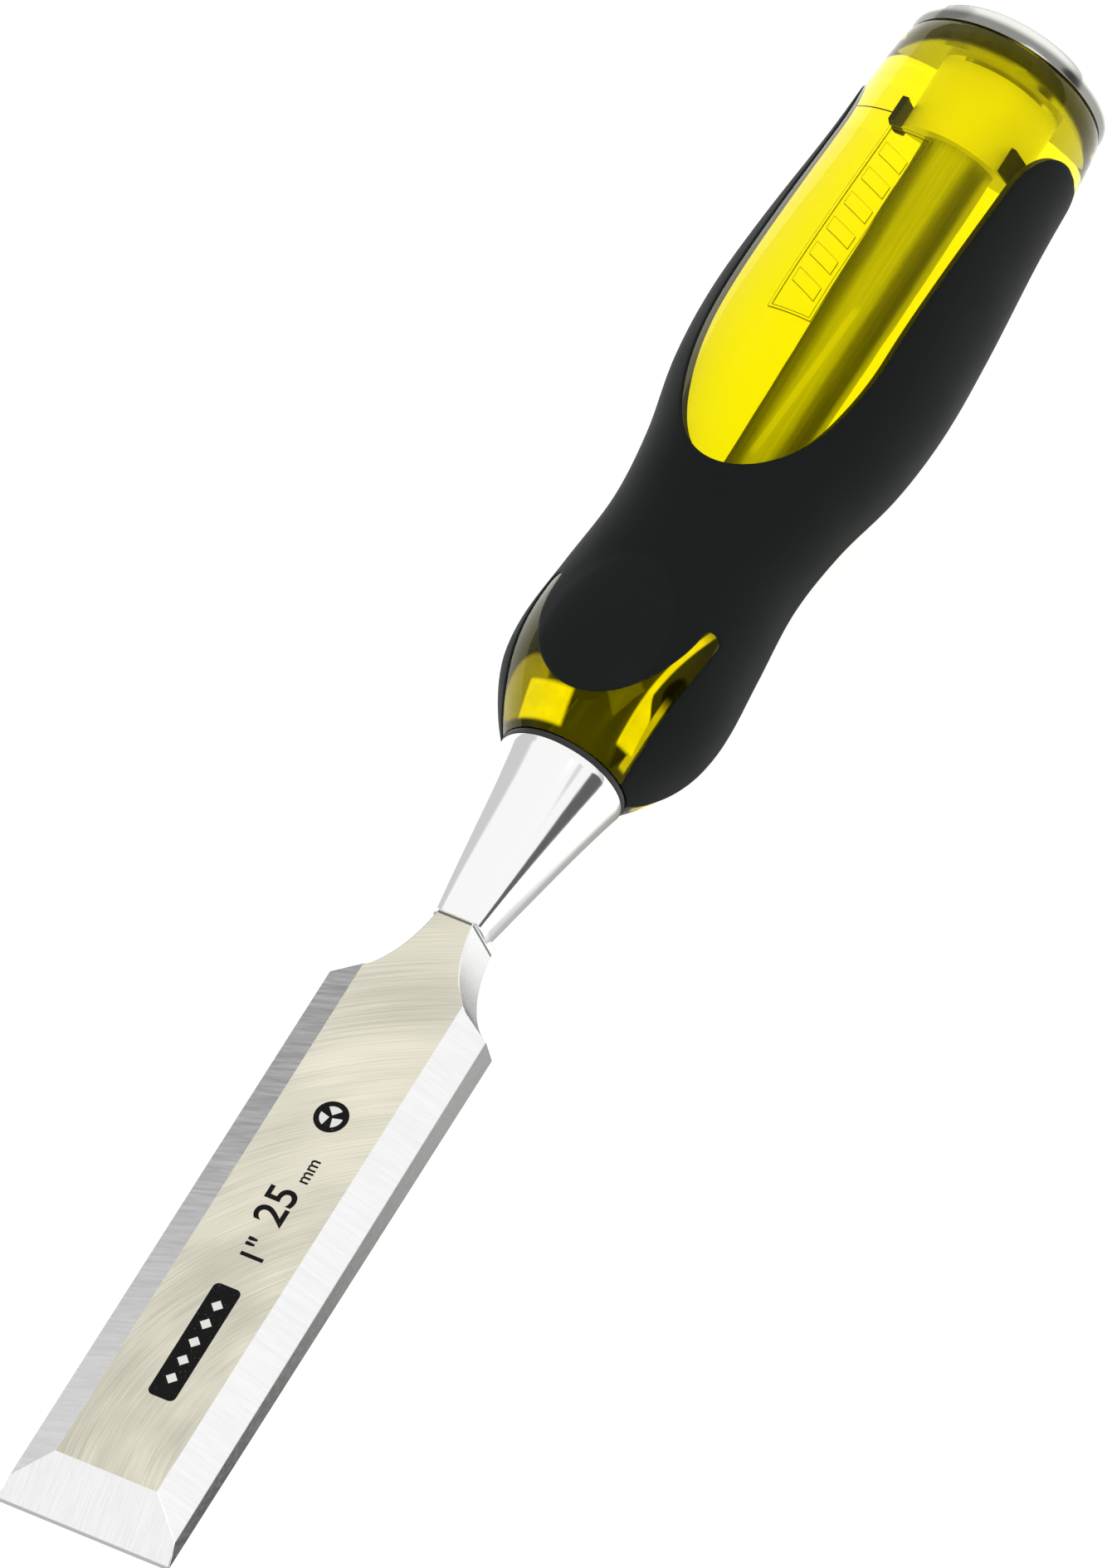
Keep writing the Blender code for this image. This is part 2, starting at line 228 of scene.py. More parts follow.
def operation(name):
    """A method of Number that adds a Math node."""
    return lambda number, *others: number.shader.node(
        "ShaderNodeMath", {"operation": name}, dict(enumerate((number, *others))))


class Number:
    """A shader socket that takes part in Python arithmetic."""

    def __init__(self, shader, socket):
        self.shader = shader
        self.socket = socket

    __add__ = __radd__ = operation("ADD")
    __sub__ = operation("SUBTRACT")
    __mul__ = __rmul__ = operation("MULTIPLY")
    __truediv__ = operation("DIVIDE")
    size = operation("ABSOLUTE")
    most = operation("MAXIMUM")
    power = operation("POWER")

    def __rsub__(self, other):
        return self * -1.0 + other

    def __neg__(self):
        return self * -1.0

    def rise(self, start, end):
        """0 before start, 1 after end, smooth between; falls if start is past end."""
        return self.shader.node(
            "ShaderNodeMapRange", {"interpolation_type": "SMOOTHSTEP"},
            {"Value": self, "From Min": start, "From Max": end})


class Shader:
    """The nodes of one material or world."""

    def __init__(self, owner):
        self.owner = owner
        owner.use_nodes = True
        self.nodes = owner.node_tree.nodes
        self.links = owner.node_tree.links

    def put(self, socket, value):
        if isinstance(value, Number):
            self.links.new(value.socket, socket)
        else:
            socket.default_value = value

    def node(self, kind, settings=None, values=None, output=0):
        """Add a node, set it up, connect its inputs and give back one of its outputs."""
        made = self.nodes.new(kind)
        for name, setting in (settings or {}).items():
            setattr(made, name, setting)
        for key, value in (values or {}).items():
            self.put(made.inputs[key], value)
        return Number(self, made.outputs[output])

    def principled(self, **values):
        """Set the inputs of the surface shader and give back the finished material."""
        for name, value in values.items():
            self.put(self.nodes["Principled BSDF"].inputs[name.replace("_", " ")], value)
        return self.owner

    def place(self):
        """The object coordinates, as a vector."""
        return self.node("ShaderNodeTexCoord", output="Object")

    def axes(self, vector):
        split = self.nodes.new("ShaderNodeSeparateXYZ")
        self.put(split.inputs[0], vector)
        return [Number(self, output) for output in split.outputs]

    def millimetres(self):
        """The distance from the cutting edge, the place across and the height from the axis."""
        along, across, height = self.axes(self.place())
        return (EDGE_X - along) / MM, across / MM, (height - AXIS_Z) / MM

    def vector(self, x, y):
        return self.node("ShaderNodeCombineXYZ", None, {0: x, 1: y})

    def noise(self, vector, scale=1.0, detail=3.0, roughness=0.5):
        return self.node(
            "ShaderNodeTexNoise", None,
            {"Vector": vector, "Scale": scale, "Detail": detail, "Roughness": roughness})

    def grain(self, scale, turn=0.0, **settings):
        """Noise in streaks: its scale along, across and up, turned in the plane of the flat."""
        return self.noise(self.node("ShaderNodeMapping", None,
                                    {"Vector": self.place(), "Rotation": (0.0, 0.0, turn),
                                     "Scale": scale}), **settings)

    def blend(self, factor, first, second):
        """A colour between two colours."""
        made = self.nodes.new("ShaderNodeMix")
        made.data_type = "RGBA"
        for key, value in (("Factor", factor), (6, first), (7, second)):
            self.put(made.inputs[key], value)
        return Number(self, made.outputs[2])

    def bump(self, height, distance, strength=1.0):
        """A bump whose distance is in millimetres."""
        return self.node("ShaderNodeBump", None,
                         {"Height": height, "Distance": distance * MM, "Strength": strength})


def material(name):
    """The shader of a new material."""
    return Shader(bpy.data.materials.new(name))


def rgb(colour, amount=1.0):
    """A colour for a socket, made lighter or darker by an amount."""
    return (*(min(amount * c, 1.0) for c in colour), 1.0)


# ---------------------------------------------------------------------------------------------
# Materials

SHADOW_LINE = (0.05, 0.05, 0.05)


def bolster_shadow_line(along):
    """The thin painted shadow line where the blade meets the bolster."""
    return (along - (BOLSTER_START - 0.28)).size().rise(0.24, 0.1) * 0.85


def ground_flat(colour):
    """Surface-ground steel: curved hairlines from the wheel and brighter swept patches."""
    nodes = material("ground_flat")
    along, across, height = nodes.millimetres()
    swing, reach = along - WHEEL_CENTRE[0], across - WHEEL_CENTRE[1]
    radius = (swing * swing + reach * reach).power(0.5)
    turn = nodes.node("ShaderNodeMath", {"operation": "ARCTAN2"}, {0: swing, 1: -reach})
    hairs = nodes.noise(nodes.vector(radius * 4.6, turn * 3.5), detail=4.0, roughness=0.62)
    scores = nodes.noise(nodes.vector(radius * 1.3, turn * 2.0), detail=2.0).rise(0.6, 0.72)
    swept = nodes.noise(nodes.vector(radius * 0.1, turn * 2.4), detail=2.0)
    tone = ((hairs - 0.5) * 1.35 + (swept - 0.5) * 1.3 + 0.36 + along.rise(8.0, 75.0) * 0.22
            - scores * 0.22)
    tint = nodes.blend(tone.rise(-0.1, 1.1), rgb(colour, 0.8), rgb(colour, 1.3))
    # Painted shadow line where the blade meets the bolster.
    tint = nodes.blend(bolster_shadow_line(along), tint, rgb(SHADOW_LINE))
    return nodes.principled(
        Base_Color=tint, Metallic=1.0, Roughness=0.3 + (hairs - 0.5) * 0.2,
        Normal=nodes.bump(hairs, 0.03, 0.2))


def ground_bevel(colour):
    """Side bevels: coarse slanting scores, and a painted dark reflection near the shoulder that
    fades towards the edge.
    """
    nodes = material("ground_bevel")
    along, across, height = nodes.millimetres()
    scores = nodes.grain((1900.0, 120.0, 120.0), math.radians(-38.0), roughness=0.6)
    # Painted dark reflection on the -Y bevel, darker towards the bolster.
    painted_dark_reflection = along.rise(6.0, 74.0) * across.rise(2.0, -2.0) * 0.82
    tone = (0.5 + (scores - 0.5) * 1.2).rise(0.1, 0.9)
    light = nodes.blend(tone, rgb(colour, 0.93), rgb(colour))
    dark = nodes.blend(tone, rgb(colour, 0.3), rgb(colour, 0.6))
    return nodes.principled(
        Base_Color=nodes.blend(painted_dark_reflection, light, dark), Metallic=1.0,
        Roughness=0.26 + (scores - 0.5) * 0.16, Normal=nodes.bump(scores, 0.04, 0.25))


def edge_bevel(colour):
    """The cutting bevel: hairlines across the edge and a thin painted dark outline at the edge
    itself.
    """
    nodes = material("edge_bevel")
    along, across, height = nodes.millimetres()
    hairs = nodes.grain((220.0, 5200.0, 220.0), roughness=0.6)
    tone = nodes.blend(hairs.rise(0.25, 0.75), rgb(colour, 0.88), rgb(colour))
    # A thin painted dark outline along the cutting edge.
    tint = nodes.blend(along.rise(0.45, 0.3), tone, rgb(colour, 0.5))
    return nodes.principled(
        Base_Color=tint, Metallic=1.0, Roughness=0.26 + (hairs - 0.5) * 0.18,
        Normal=nodes.bump(hairs, 0.03, 0.2))


def drawn_side(colour):
    """The side walls: a painted dark reflection along the blade, brighter in the hollow flare,
    lines lengthwise.
    """
    nodes = material("drawn_side")
    along, across, height = nodes.millimetres()
    lines = nodes.grain((60.0, 3000.0, 5000.0))
    scale = nodes.grain((900.0, 1500.0, 1500.0))
    # Painted dark reflection: darker towards the cutting edge, lighter towards the bolster.
    dark = nodes.blend(along.rise(5.0, 82.0), rgb(colour, 0.16), rgb(colour, 0.62))
    dark = nodes.blend(scale.rise(0.42, 0.62) * 0.12, dark, rgb(colour, 0.9))
    tint = nodes.blend(along.rise(84.0, 88.0), dark, rgb((0.8, 0.8, 0.79)))
    # Painted shadow line where the blade meets the bolster.
    tint = nodes.blend(bolster_shadow_line(along), tint, rgb(SHADOW_LINE))
    return nodes.principled(
        Base_Color=tint, Metallic=1.0, Roughness=0.3 + (lines - 0.5) * 0.2,
        Normal=nodes.bump(lines, 0.04, 0.3))


def polished_bolster(colour):
    """Polished forging: nearly a mirror, with very faint lengthwise polishing lines."""
    nodes = material("polished_bolster")
    lines = nodes.grain((40.0, 2200.0, 2200.0))
    clouds = nodes.noise(nodes.place(), 260.0)
    return nodes.principled(
        Base_Color=rgb(colour), Metallic=1.0,
        Roughness=0.1 + (lines - 0.5) * 0.06 + (clouds - 0.5) * 0.06,
        Normal=nodes.bump(lines, 0.02, 0.12))


def dull_tang(colour):
    """The tang's drawn steel inside the core, a painted highlight streak down its front and a
    painted dark root.
    """
    nodes = material("dull_tang")
    along, across, height = nodes.millimetres()
    aside = across * math.cos(TURN) - height * math.sin(TURN)
    lines = nodes.grain((50.0, 2600.0, 2600.0))
    # A painted highlight streak down the tang's front.
    ground = ((aside - (along - 173.0) * 0.041 + 1.33).size().rise(0.42, 0.2)
              * along.rise(171.5, 173.5) * along.rise(197.0, 195.0))
    tint = nodes.blend(lines.rise(0.3, 0.7), rgb(colour, 0.85), rgb(colour))
    # Painted dark reflection on the tang's root, near the bolster.
    tint = nodes.blend(along.rise(136.0, 158.0), rgb(colour, 0.12), tint)
    return nodes.principled(
        Base_Color=nodes.blend(ground, tint, rgb((0.9, 0.9, 0.88))), Metallic=0.55,
        Roughness=0.4 + (lines - 0.5) * 0.12, Normal=nodes.bump(lines, 0.02, 0.2))


def turned_cap(colour):
    """Polished cap with faint turning lines round its dome and small dents from the mallet."""
    nodes = material("turned_cap")
    along, across, height = nodes.millimetres()
    radius = (across * across + height * height).power(0.5)
    rings = nodes.noise(nodes.vector(radius * 4.0, along * 0.9))
    dents = nodes.noise(nodes.place(), 420.0, 2.0).rise(0.62, 0.75)
    # Painted dark reflection on the cap's side next to the core.
    side = radius.rise(13.4, 13.8) * along.rise(CORE_END + 2.0, CORE_END + 1.0)
    # The middle of the dome is painted darker.
    darker_dome_middle = radius.rise(13.1, 12.5) * 0.75
    return nodes.principled(
        Base_Color=nodes.blend(side.most(darker_dome_middle), rgb(colour), rgb(colour, 0.3)),
        Metallic=1.0, Roughness=0.17 + (rings - 0.5) * 0.12 + dents * 0.06,
        Normal=nodes.bump(rings * 0.4 - dents, 0.05, 0.25))


def spigot_painted_shade():
    """The end of the cap that sits in the handle, painted near-black as shade."""
    nodes = material("spigot_painted_shade")
    scale = nodes.noise(nodes.place(), 900.0)
    tint = nodes.blend(scale.rise(0.4, 0.7), rgb((0.006, 0.006, 0.006)), rgb((0.03, 0.03, 0.028)))
    return nodes.principled(Base_Color=tint, Roughness=0.5 + (scale - 0.5) * 0.2)


def clear_handle(colour):
    """Clear yellow moulding, with a painted glow in patches where it is seen against the tongue's
    opening.
    """
    nodes = material("clear_handle")
    along, across, height = nodes.millimetres()
    outside = (across * across + height * height).power(0.5).rise(8.0, 9.0)
    # Painted glow: emitted yellow light in patches beside the tang's root, up to full strength.
    front_patch = (
        along.rise(123.6, 124.4) * along.rise(129.0, 128.2)
        * across.rise(-6.4, -5.8) * across.rise(0.7, 0.0))
    side_patch = ((((along - 127.6) / 4.0).power(2.0)
                   + ((across + 6.6) / 3.4).power(2.0)).rise(1.1, 0.7) * 0.3)
    lean = across - 7.3 - (along - 126.0) * 0.19
    wide = 1.9 - along.rise(129.5, 133.0) * 1.2
    shaft = lean.rise(-0.1, 0.15) * (wide - lean).rise(-0.1, 0.15) * along.rise(125.6, 126.2)
    reach = (TONGUE_CENTRE - along) / LOBE_LENGTH
    lobe = (1.0 - reach * reach).power(0.5) * LOBE_HALF_WIDTH
    trim = (lobe - 0.5 - across).size().rise(0.4, 0.2) * along.rise(134.0, 131.0) * 0.6
    glow = (front_patch.most(side_patch).most(shaft).most(trim)
            * along.rise(124.0, 124.6) * along.rise(146.0, 142.0) * outside
            * height.size().rise(1.5, 3.5))
    glow = glow * (0.62 + nodes.noise(nodes.place(), 420.0) * 0.5)
    flow = nodes.grain((60.0, 200.0, 200.0), detail=2.0)
    return nodes.principled(
        Base_Color=rgb(colour), Roughness=0.03, IOR=1.49, Transmission_Weight=1.0,
        Specular_Tint=rgb((1.0, 0.86, 0.0)), Emission_Strength=1.0,
        Emission_Color=nodes.blend(glow, rgb((0.0, 0.0, 0.0)), rgb((1.0, 0.8, 0.0))),
        Normal=nodes.bump(flow * outside, 0.04))


def moulded_plug(colour, glow=0.0):
    """Opaque yellow moulding with a soft flow pattern and a painted glow of the given strength."""
    nodes = material("moulded_plug")
    flow = nodes.grain((100.0, 300.0, 300.0))
    tint = nodes.blend(flow.rise(0.3, 0.7), rgb(colour, 0.93), rgb(colour))
    return nodes.principled(
        Base_Color=tint, Roughness=0.3 + (flow - 0.5) * 0.1,
        Emission_Color=tint, Emission_Strength=glow)


def soft_grip(colour, pad_sheen_colour):
    """Soft black rubber: fine spark texture, a painted paler sheen on the smooth thumb pad and a
    dull sheen.
    """
    nodes = material("soft_grip")
    grain = nodes.noise(nodes.place(), 5200.0, 2.0, 0.6)
    patches = nodes.noise(nodes.place(), 140.0)
    along, across, height = nodes.millimetres()
    # Painted sheen: the thumb pad is painted paler.
    pad = (((along - PAD_CENTRE) / PAD_LENGTH).power(2.0)
           + (across / PAD_WIDTH).power(2.0)).rise(1.08, 0.92)
    tint = nodes.blend(pad * 0.75 + (patches - 0.5) * 0.5, rgb(colour), rgb(pad_sheen_colour))
    return nodes.principled(
        Base_Color=tint, Roughness=0.52 + (patches - 0.5) * 0.14 + grain * 0.05,
        Specular_IOR_Level=0.05, Sheen_Weight=0.012, Sheen_Roughness=0.5,
        Normal=nodes.bump(grain, 0.05, 0.22))


def washer_rubber(colour):
    nodes = material("washer_rubber")
    grain = nodes.noise(nodes.place(), 3000.0, 2.0)
    return nodes.principled(
        Base_Color=rgb(colour), Roughness=0.42 + (grain - 0.5) * 0.15,
        Normal=nodes.bump(grain, 0.03, 0.2))


def printed_mark(colour):
    """Black etched ink, slightly broken along its edges."""
    nodes = material("printed_mark")
    speck = nodes.noise(nodes.place(), 4200.0)
    tint = nodes.blend(speck.rise(0.66, 0.74), rgb(colour), rgb((0.12, 0.12, 0.115)))
    return nodes.principled(Base_Color=tint, Roughness=0.5 + speck * 0.1, Specular_IOR_Level=0.1)


def bare_mark(colour):
    """Bare steel showing through an etched mark."""
    nodes = material("bare_mark")
    speck = nodes.noise(nodes.place(), 3000.0)
    return nodes.principled(Base_Color=rgb(colour), Metallic=0.4, Roughness=0.35 + speck * 0.15)


# ---------------------------------------------------------------------------------------------
# Mesh building


def placed(name, data):
    """A new object in the scene."""
    made = bpy.data.objects.new(name, data)
    bpy.context.collection.objects.link(made)
    return made


def add_piece(name, mesh, materials, slot, *nodes):
    """Put a mesh in the scene as a finished piece that stands for CAD nodes."""
    piece = placed(name, mesh)
    for item in materials:
        mesh.materials.append(item)
    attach(piece, "root")
    if nodes:
        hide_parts(*nodes)
    return piece


def plain_mesh(name, bm):
    mesh = bpy.data.meshes.new(name)
    bm.to_mesh(mesh)
    bm.free()
    return mesh


def smoothed(mesh, sharp):
    """Shade a mesh smooth, with creases where it turns by more than an angle."""
    mesh.shade_smooth()
    mesh.set_sharp_from_angle(angle=math.radians(sharp))
    return mesh


def to_mesh(name, bm, sharp=35.0):
    """Finish a bmesh as a smooth-shaded mesh whose faces point outwards."""
    bmesh.ops.recalc_face_normals(bm, faces=bm.faces)
    return smoothed(plain_mesh(name, bm), sharp)


def applied(name, data, prepare=None):
    """The mesh of a curve, or of a mesh after the modifiers that prepare() puts on it."""
    holder = placed(name + "_work", data)
    if prepare:
        prepare(holder)
    graph = bpy.context.evaluated_depsgraph_get()
    result = bpy.data.meshes.new_from_object(holder.evaluated_get(graph))
    bpy.data.objects.remove(holder, do_unlink=True)
    result.name = name
    return result


def combined(name, mesh, other, operation_type):
    """The boolean of two meshes."""
    work = placed(name + "_tool", other)

    def combine(holder):
        step = holder.modifiers.new("combine", "BOOLEAN")
        step.solver = "EXACT"
        step.operation = operation_type
        step.object = work

    result = applied(name, mesh, combine)
    bpy.data.objects.remove(work, do_unlink=True)
    return result


def turned(outline, closed, segments=RING_SEGMENTS):
    """Spin an outline of (distance, radius) points round the axis."""
    bm = bmesh.new()
    rings = []
    for along, radius in outline:
        count = 1 if radius == 0 else segments
        rings.append([bm.verts.new(round_point(along, radius, math.tau * i / segments))
                      for i in range(count)])
    pairs = list(zip(rings, rings[1:]))
    if closed:
        pairs.append((rings[-1], rings[0]))
    for ring, following in pairs:
        for i in range(segments):
            j = (i + 1) % segments
            corners = [ring[i % len(ring)], ring[j % len(ring)],
                       following[j % len(following)], following[i % len(following)]]
            bm.faces.new(list(dict.fromkeys(corners)))
    return bm


def lofted(sections, closed=False):
    """Skin a row of equal-sized point rings, and close its ends or join them."""
    bm = bmesh.new()
    rings = [[bm.verts.new(place) for place in section] for section in sections]
    for ring, following in zip(rings, rings[1:] + rings[:closed]):
        for i in range(len(ring)):
            j = (i + 1) % len(ring)
            bm.faces.new((ring[i], ring[j], following[j], following[i]))
    if not closed:
        bm.faces.new(rings[0])
        bm.faces.new(reversed(rings[-1]))
    return bm


# ---------------------------------------------------------------------------------------------
# Blade, bolster and tang


def top_height(along):
    return HEEL_TOP + TOP_RISE * (along - HEEL)


def blade_bar():
    """The full-width bar with its side bevels, ground to the cutting edge."""
    sections = []
    for along in (-1.0, BOLSTER_START + 1.5):
        side = BLADE_WIDTH / 2 - SIDE_TAPER * along
        half = [(side, BACK_HEIGHT), (side - WALL_LEAN, WALL_TOP + WALL_RISE * along),
                (FLAT_HALF_WIDTH, top_height(along))]
        ring = half + [(-across, height) for across, height in reversed(half)]
        sections.append([point(along, across, height) for across, height in ring])
    bm = lofted(sections)
    edge, heel = point(0.0, 0.0, BACK_HEIGHT), point(HEEL, 0.0, HEEL_TOP)
    normal = Vector((0.0, -1.0, 0.0)).cross(heel - edge).normalized()
    if normal.z < 0:
        normal.negate()
    cut = bmesh.ops.bisect_plane(
        bm, geom=bm.verts[:] + bm.edges[:] + bm.faces[:],
        plane_co=edge, plane_no=normal, clear_outer=True)
    bmesh.ops.edgeloop_fill(bm, edges=[item for item in cut["geom_cut"]
                                       if isinstance(item, bmesh.types.BMEdge)])
    return bm


def blade_plan():
    """A block with the blade's outline from above: shoulders, hollow leaning flare and neck."""
    slope = (FLARE - SHOULDER) / (BLADE_WIDTH / 2 - FLARE_HALF_WIDTH)
    outside = BLADE_WIDTH / 2 + 1.5
    flare = bezier((FLARE, FLARE_HALF_WIDTH), FLARE_HOLLOW, (BOLSTER_START, NECK_HALF_WIDTH), 24)
    flare.append((BOLSTER_START + 1.0, NECK_HALF_WIDTH))
    sections = []
    for height in (-10.0, 10.0):
        lean = FLARE_DRAFT * (height - FLARE_MIDDLE)
        half = [(-5.0, outside), (SHOULDER - 1.5 * slope, outside)]
        half += [(along, across - lean) for along, across in flare]
        outline = half + [(along, -across) for along, across in reversed(half)]
        sections.append([point(along, across, height) for along, across in outline])
    return lofted(sections)


def soften_blade(mesh):
    """Mark every edge of the blade for a small bevel, except its cutting edge."""
    bm = bmesh.new()
    bm.from_mesh(mesh)
    bmesh.ops.remove_doubles(bm, verts=bm.verts, dist=0.002 * MM)
    bmesh.ops.dissolve_limit(bm, angle_limit=math.radians(0.5), verts=bm.verts, edges=bm.edges)
    weight = bm.edges.layers.float.new("bevel_weight_edge")
    for edge in bm.edges:
        sharp = len(edge.link_faces) == 2 and edge.calc_face_angle() > math.radians(12)
        at_tip = all(vert.co.x > EDGE_X - 0.2 * MM for vert in edge.verts)
        edge[weight] = 1.0 if sharp and not at_tip else 0.0
    bm.to_mesh(mesh)
    bm.free()


def paint_blade(mesh):
    """Give each face of the blade its finish by the way that it faces."""
    for face in mesh.polygons:
        normal = face.normal
        if normal.x > 0.3:
            face.material_index = 2
        elif abs(normal.y) > 0.8 or abs(normal.z) < 0.5:
            face.material_index = 3
        elif abs(normal.y) > 0.2:
            face.material_index = 1
        else:
            face.material_index = 0


def build_blade(settings):
    mesh = combined(
        "blade", to_mesh("blade", blade_bar()), to_mesh("plan", blade_plan()), "INTERSECT")
    soften_blade(mesh)

    def soften(holder):
        step = holder.modifiers.new("edges", "BEVEL")
        step.limit_method = "WEIGHT"
        step.width = settings.blade_edge
        step.segments = 3
        step.harden_normals = True

    mesh = applied("blade", smoothed(mesh, 30), soften)
    mesh.materials.clear()
    paint_blade(mesh)
    steel = settings.steel_colour
    add_piece(
        "blade", mesh,
        [ground_flat(settings.flat_colour), ground_bevel(steel), edge_bevel(steel),
         drawn_side(settings.side_colour)],
        "forged_steel", "blade_forging")


def super_ring(along, half_width, half_height=None, rise=0.0, squareness=2.0):
    """A ring between a circle (squareness 2) and a rounded rectangle."""
    half_height = half_height or half_width
    power = 2 / squareness
    ring = []
    for i in range(RING_SEGMENTS):
        turn = math.tau * i / RING_SEGMENTS
        across, height = math.sin(turn), math.cos(turn)
        ring.append(point(along, half_width * math.copysign(abs(across) ** power, across),
                          rise + half_height * math.copysign(abs(height) ** power, height)))
    return ring


def bolster_ring(t):
    """A ring of the bolster, from the neck at 0 to the shoulder at 1."""
    grow = 0.85 * t + 0.15 * t * t
    along = BOLSTER_START + (BOLSTER_END - BOLSTER_EDGE - BOLSTER_START) * t
    return super_ring(
        along, BOLSTER_HALF_WIDTH + (BOLSTER_RADIUS - BOLSTER_HALF_WIDTH) * grow,
        BOLSTER_HALF_HEIGHT + (BOLSTER_RADIUS - BOLSTER_HALF_HEIGHT) * grow,
        BOLSTER_RISE * (1 - t), 2 + BOLSTER_SQUARENESS * (1 - t) ** 2)


def tang_radius(along):
    if along < TANG_ROOT_END:
        t = (along - BOLSTER_END) / (TANG_ROOT_END - BOLSTER_END)
        return TANG_ROOT_RADIUS + (TANG_NECK_RADIUS - TANG_ROOT_RADIUS) * math.sin(t * math.pi / 2)
    t = min((along - TANG_ROOT_END) / (PLUG_START - TANG_ROOT_END), 1.0)
    return TANG_NECK_RADIUS + (TANG_RADIUS - TANG_NECK_RADIUS) * t


def build_bolster(settings):
    sections = [super_ring(BOLSTER_START, BOLSTER_HALF_WIDTH - 0.12, BOLSTER_HALF_HEIGHT - 0.12,
                           BOLSTER_RISE, 2 + BOLSTER_SQUARENESS)]
    sections += [bolster_ring(0.005 + 0.995 * i / 30) for i in range(31)]
    rings = [(BOLSTER_END - BOLSTER_EDGE + BOLSTER_EDGE * math.sin(turn),
              BOLSTER_RADIUS - BOLSTER_EDGE + BOLSTER_EDGE * math.cos(turn))
             for turn in (math.pi / 4, math.pi / 2)]
    for i in range(9):
        along = BOLSTER_END + (TANG_ROOT_END - BOLSTER_END) * i / 8
        rings.append((along, tang_radius(along)))
    rings += [
        (PLUG_START, TANG_RADIUS), (TANG_END - 0.5, TANG_RADIUS), (TANG_END, TANG_RADIUS - 0.5)]
    sections += [super_ring(*ring) for ring in rings]
    mesh = to_mesh("bolster_and_tang", lofted(sections), 40)
    for face in mesh.polygons:
        face.material_index = 1 if (EDGE_X - face.center.x) / MM > BOLSTER_END else 0
    add_piece(
        "bolster_and_tang", mesh,
        [polished_bolster(settings.steel_colour), dull_tang((0.74, 0.74, 0.72))], "forged_steel")


# ---------------------------------------------------------------------------------------------
# Marks on the blade


BADGE = (28.4, 0.8)
ROUND_MARK = (64.4, 0.2)


def flat_matrix(along, across=0.0, proud=0.0):
    """A place on the blade's flat: local x runs to the handle, y to the left side, z out."""
    slope = math.atan(TOP_RISE)
    reading = Vector((-math.cos(slope), 0.0, math.sin(slope)))
    upright = Vector((0.0, -1.0, 0.0))
    out = reading.cross(upright)
    matrix = Matrix((reading, upright, out)).transposed().to_4x4()
    matrix.translation = point(along, across, top_height(along)) + out * proud
    return matrix


def written(body, size, along, across=0.0):
    """Raised text on the flat, as a mesh in place."""
    curve = bpy.data.curves.new("written", "FONT")
    curve.body = body
    curve.size = size * MM
    curve.extrude = 0.012 * MM
    curve.offset = 0.012 * size * MM
    curve.align_x = "CENTER"
    curve.align_y = "CENTER"
    mesh = applied("written", curve)
    mesh.transform(flat_matrix(along, across, 0.006 * MM))
    return mesh


def joined(name, meshes):
    bm = bmesh.new()
    for mesh in meshes:
        bm.from_mesh(mesh)
    return plain_mesh(name, bm)


def slab(outline, thickness, place):
    """A flat outline as a thin closed slab, lying at a place on the flat."""
    sections = [[(x * MM, y * MM, z * MM) for x, y in outline] for z in (-0.004, thickness)]
    bm = lofted(sections)
    bmesh.ops.recalc_face_normals(bm, faces=bm.faces)
    mesh = plain_mesh("slab", bm)
    mesh.transform(flat_matrix(*place))
    return mesh


def pill(half_length, half_width, corner):
    """The outline of a bar with rounded corners."""
    outline = []
    for across, up, start in ((1, 1, 0), (-1, 1, 90), (-1, -1, 180), (1, -1, 270)):
        centre = (across * (half_length - corner), up * (half_width - corner))
        outline += arc(centre, (corner, corner), start, start + 90, 6)
    return outline


def repeat_tree(name, material):
    """Geometry nodes: a row of thin lozenges, with a count, a pitch and a size."""
    tree = bpy.data.node_groups.new(name, "GeometryNodeTree")
    identifiers = {}
    for label, kind in (("Count", "Int"), ("Pitch", "Float"), ("Size", "Float")):
        item = tree.interface.new_socket(label, in_out="INPUT", socket_type="NodeSocket" + kind)
        identifiers[label] = item.identifier
    tree.interface.new_socket("Geometry", in_out="OUTPUT", socket_type="NodeSocketGeometry")

    def add(kind, **inputs):
        """Add a node; an input is a value or another node's output."""
        node = tree.nodes.new(kind)
        for key, value in inputs.items():
            if isinstance(value, bpy.types.NodeSocket):
                tree.links.new(value, node.inputs[key])
            else:
                node.inputs[key].default_value = value
        return node

    group = add("NodeGroupInput").outputs
    step = add("ShaderNodeCombineXYZ", X=group["Pitch"])
    line = add("GeometryNodeMeshLine", Count=group["Count"], Offset=step.outputs[0])
    lozenge = add("GeometryNodeMeshCylinder", Vertices=4, Depth=0.00003, Radius=group["Size"])
    copies = add(
        "GeometryNodeInstanceOnPoints", Points=line.outputs[0], Instance=lozenge.outputs[0])
    real = add("GeometryNodeRealizeInstances", Geometry=copies.outputs[0])
    paint = add("GeometryNodeSetMaterial", Geometry=real.outputs[0], Material=material)
    add("NodeGroupOutput", Geometry=paint.outputs[0])
    return tree, identifiers


def lozenge_row(material, count, pitch, size):
    """The row of bare lozenges on the name plate's bar."""
    tree, identifiers = repeat_tree("lozenge_row", material)
    values = {"Count": count, "Pitch": pitch * MM, "Size": size / 2 * MM}

    def repeat(holder):
        step = holder.modifiers.new("row", "NODES")
        step.node_group = tree
        for label, value in values.items():
            step[identifiers[label]] = value

    mesh = applied("plate_lozenges", bpy.data.meshes.new("row_seed"), repeat)
    mesh.materials.clear()
    mesh.transform(Matrix.Translation((-(count - 1) * pitch * MM / 2, 0.0, 0.0)))
    mesh.transform(flat_matrix(BADGE[0], BADGE[1], 0.02 * MM))
    return mesh


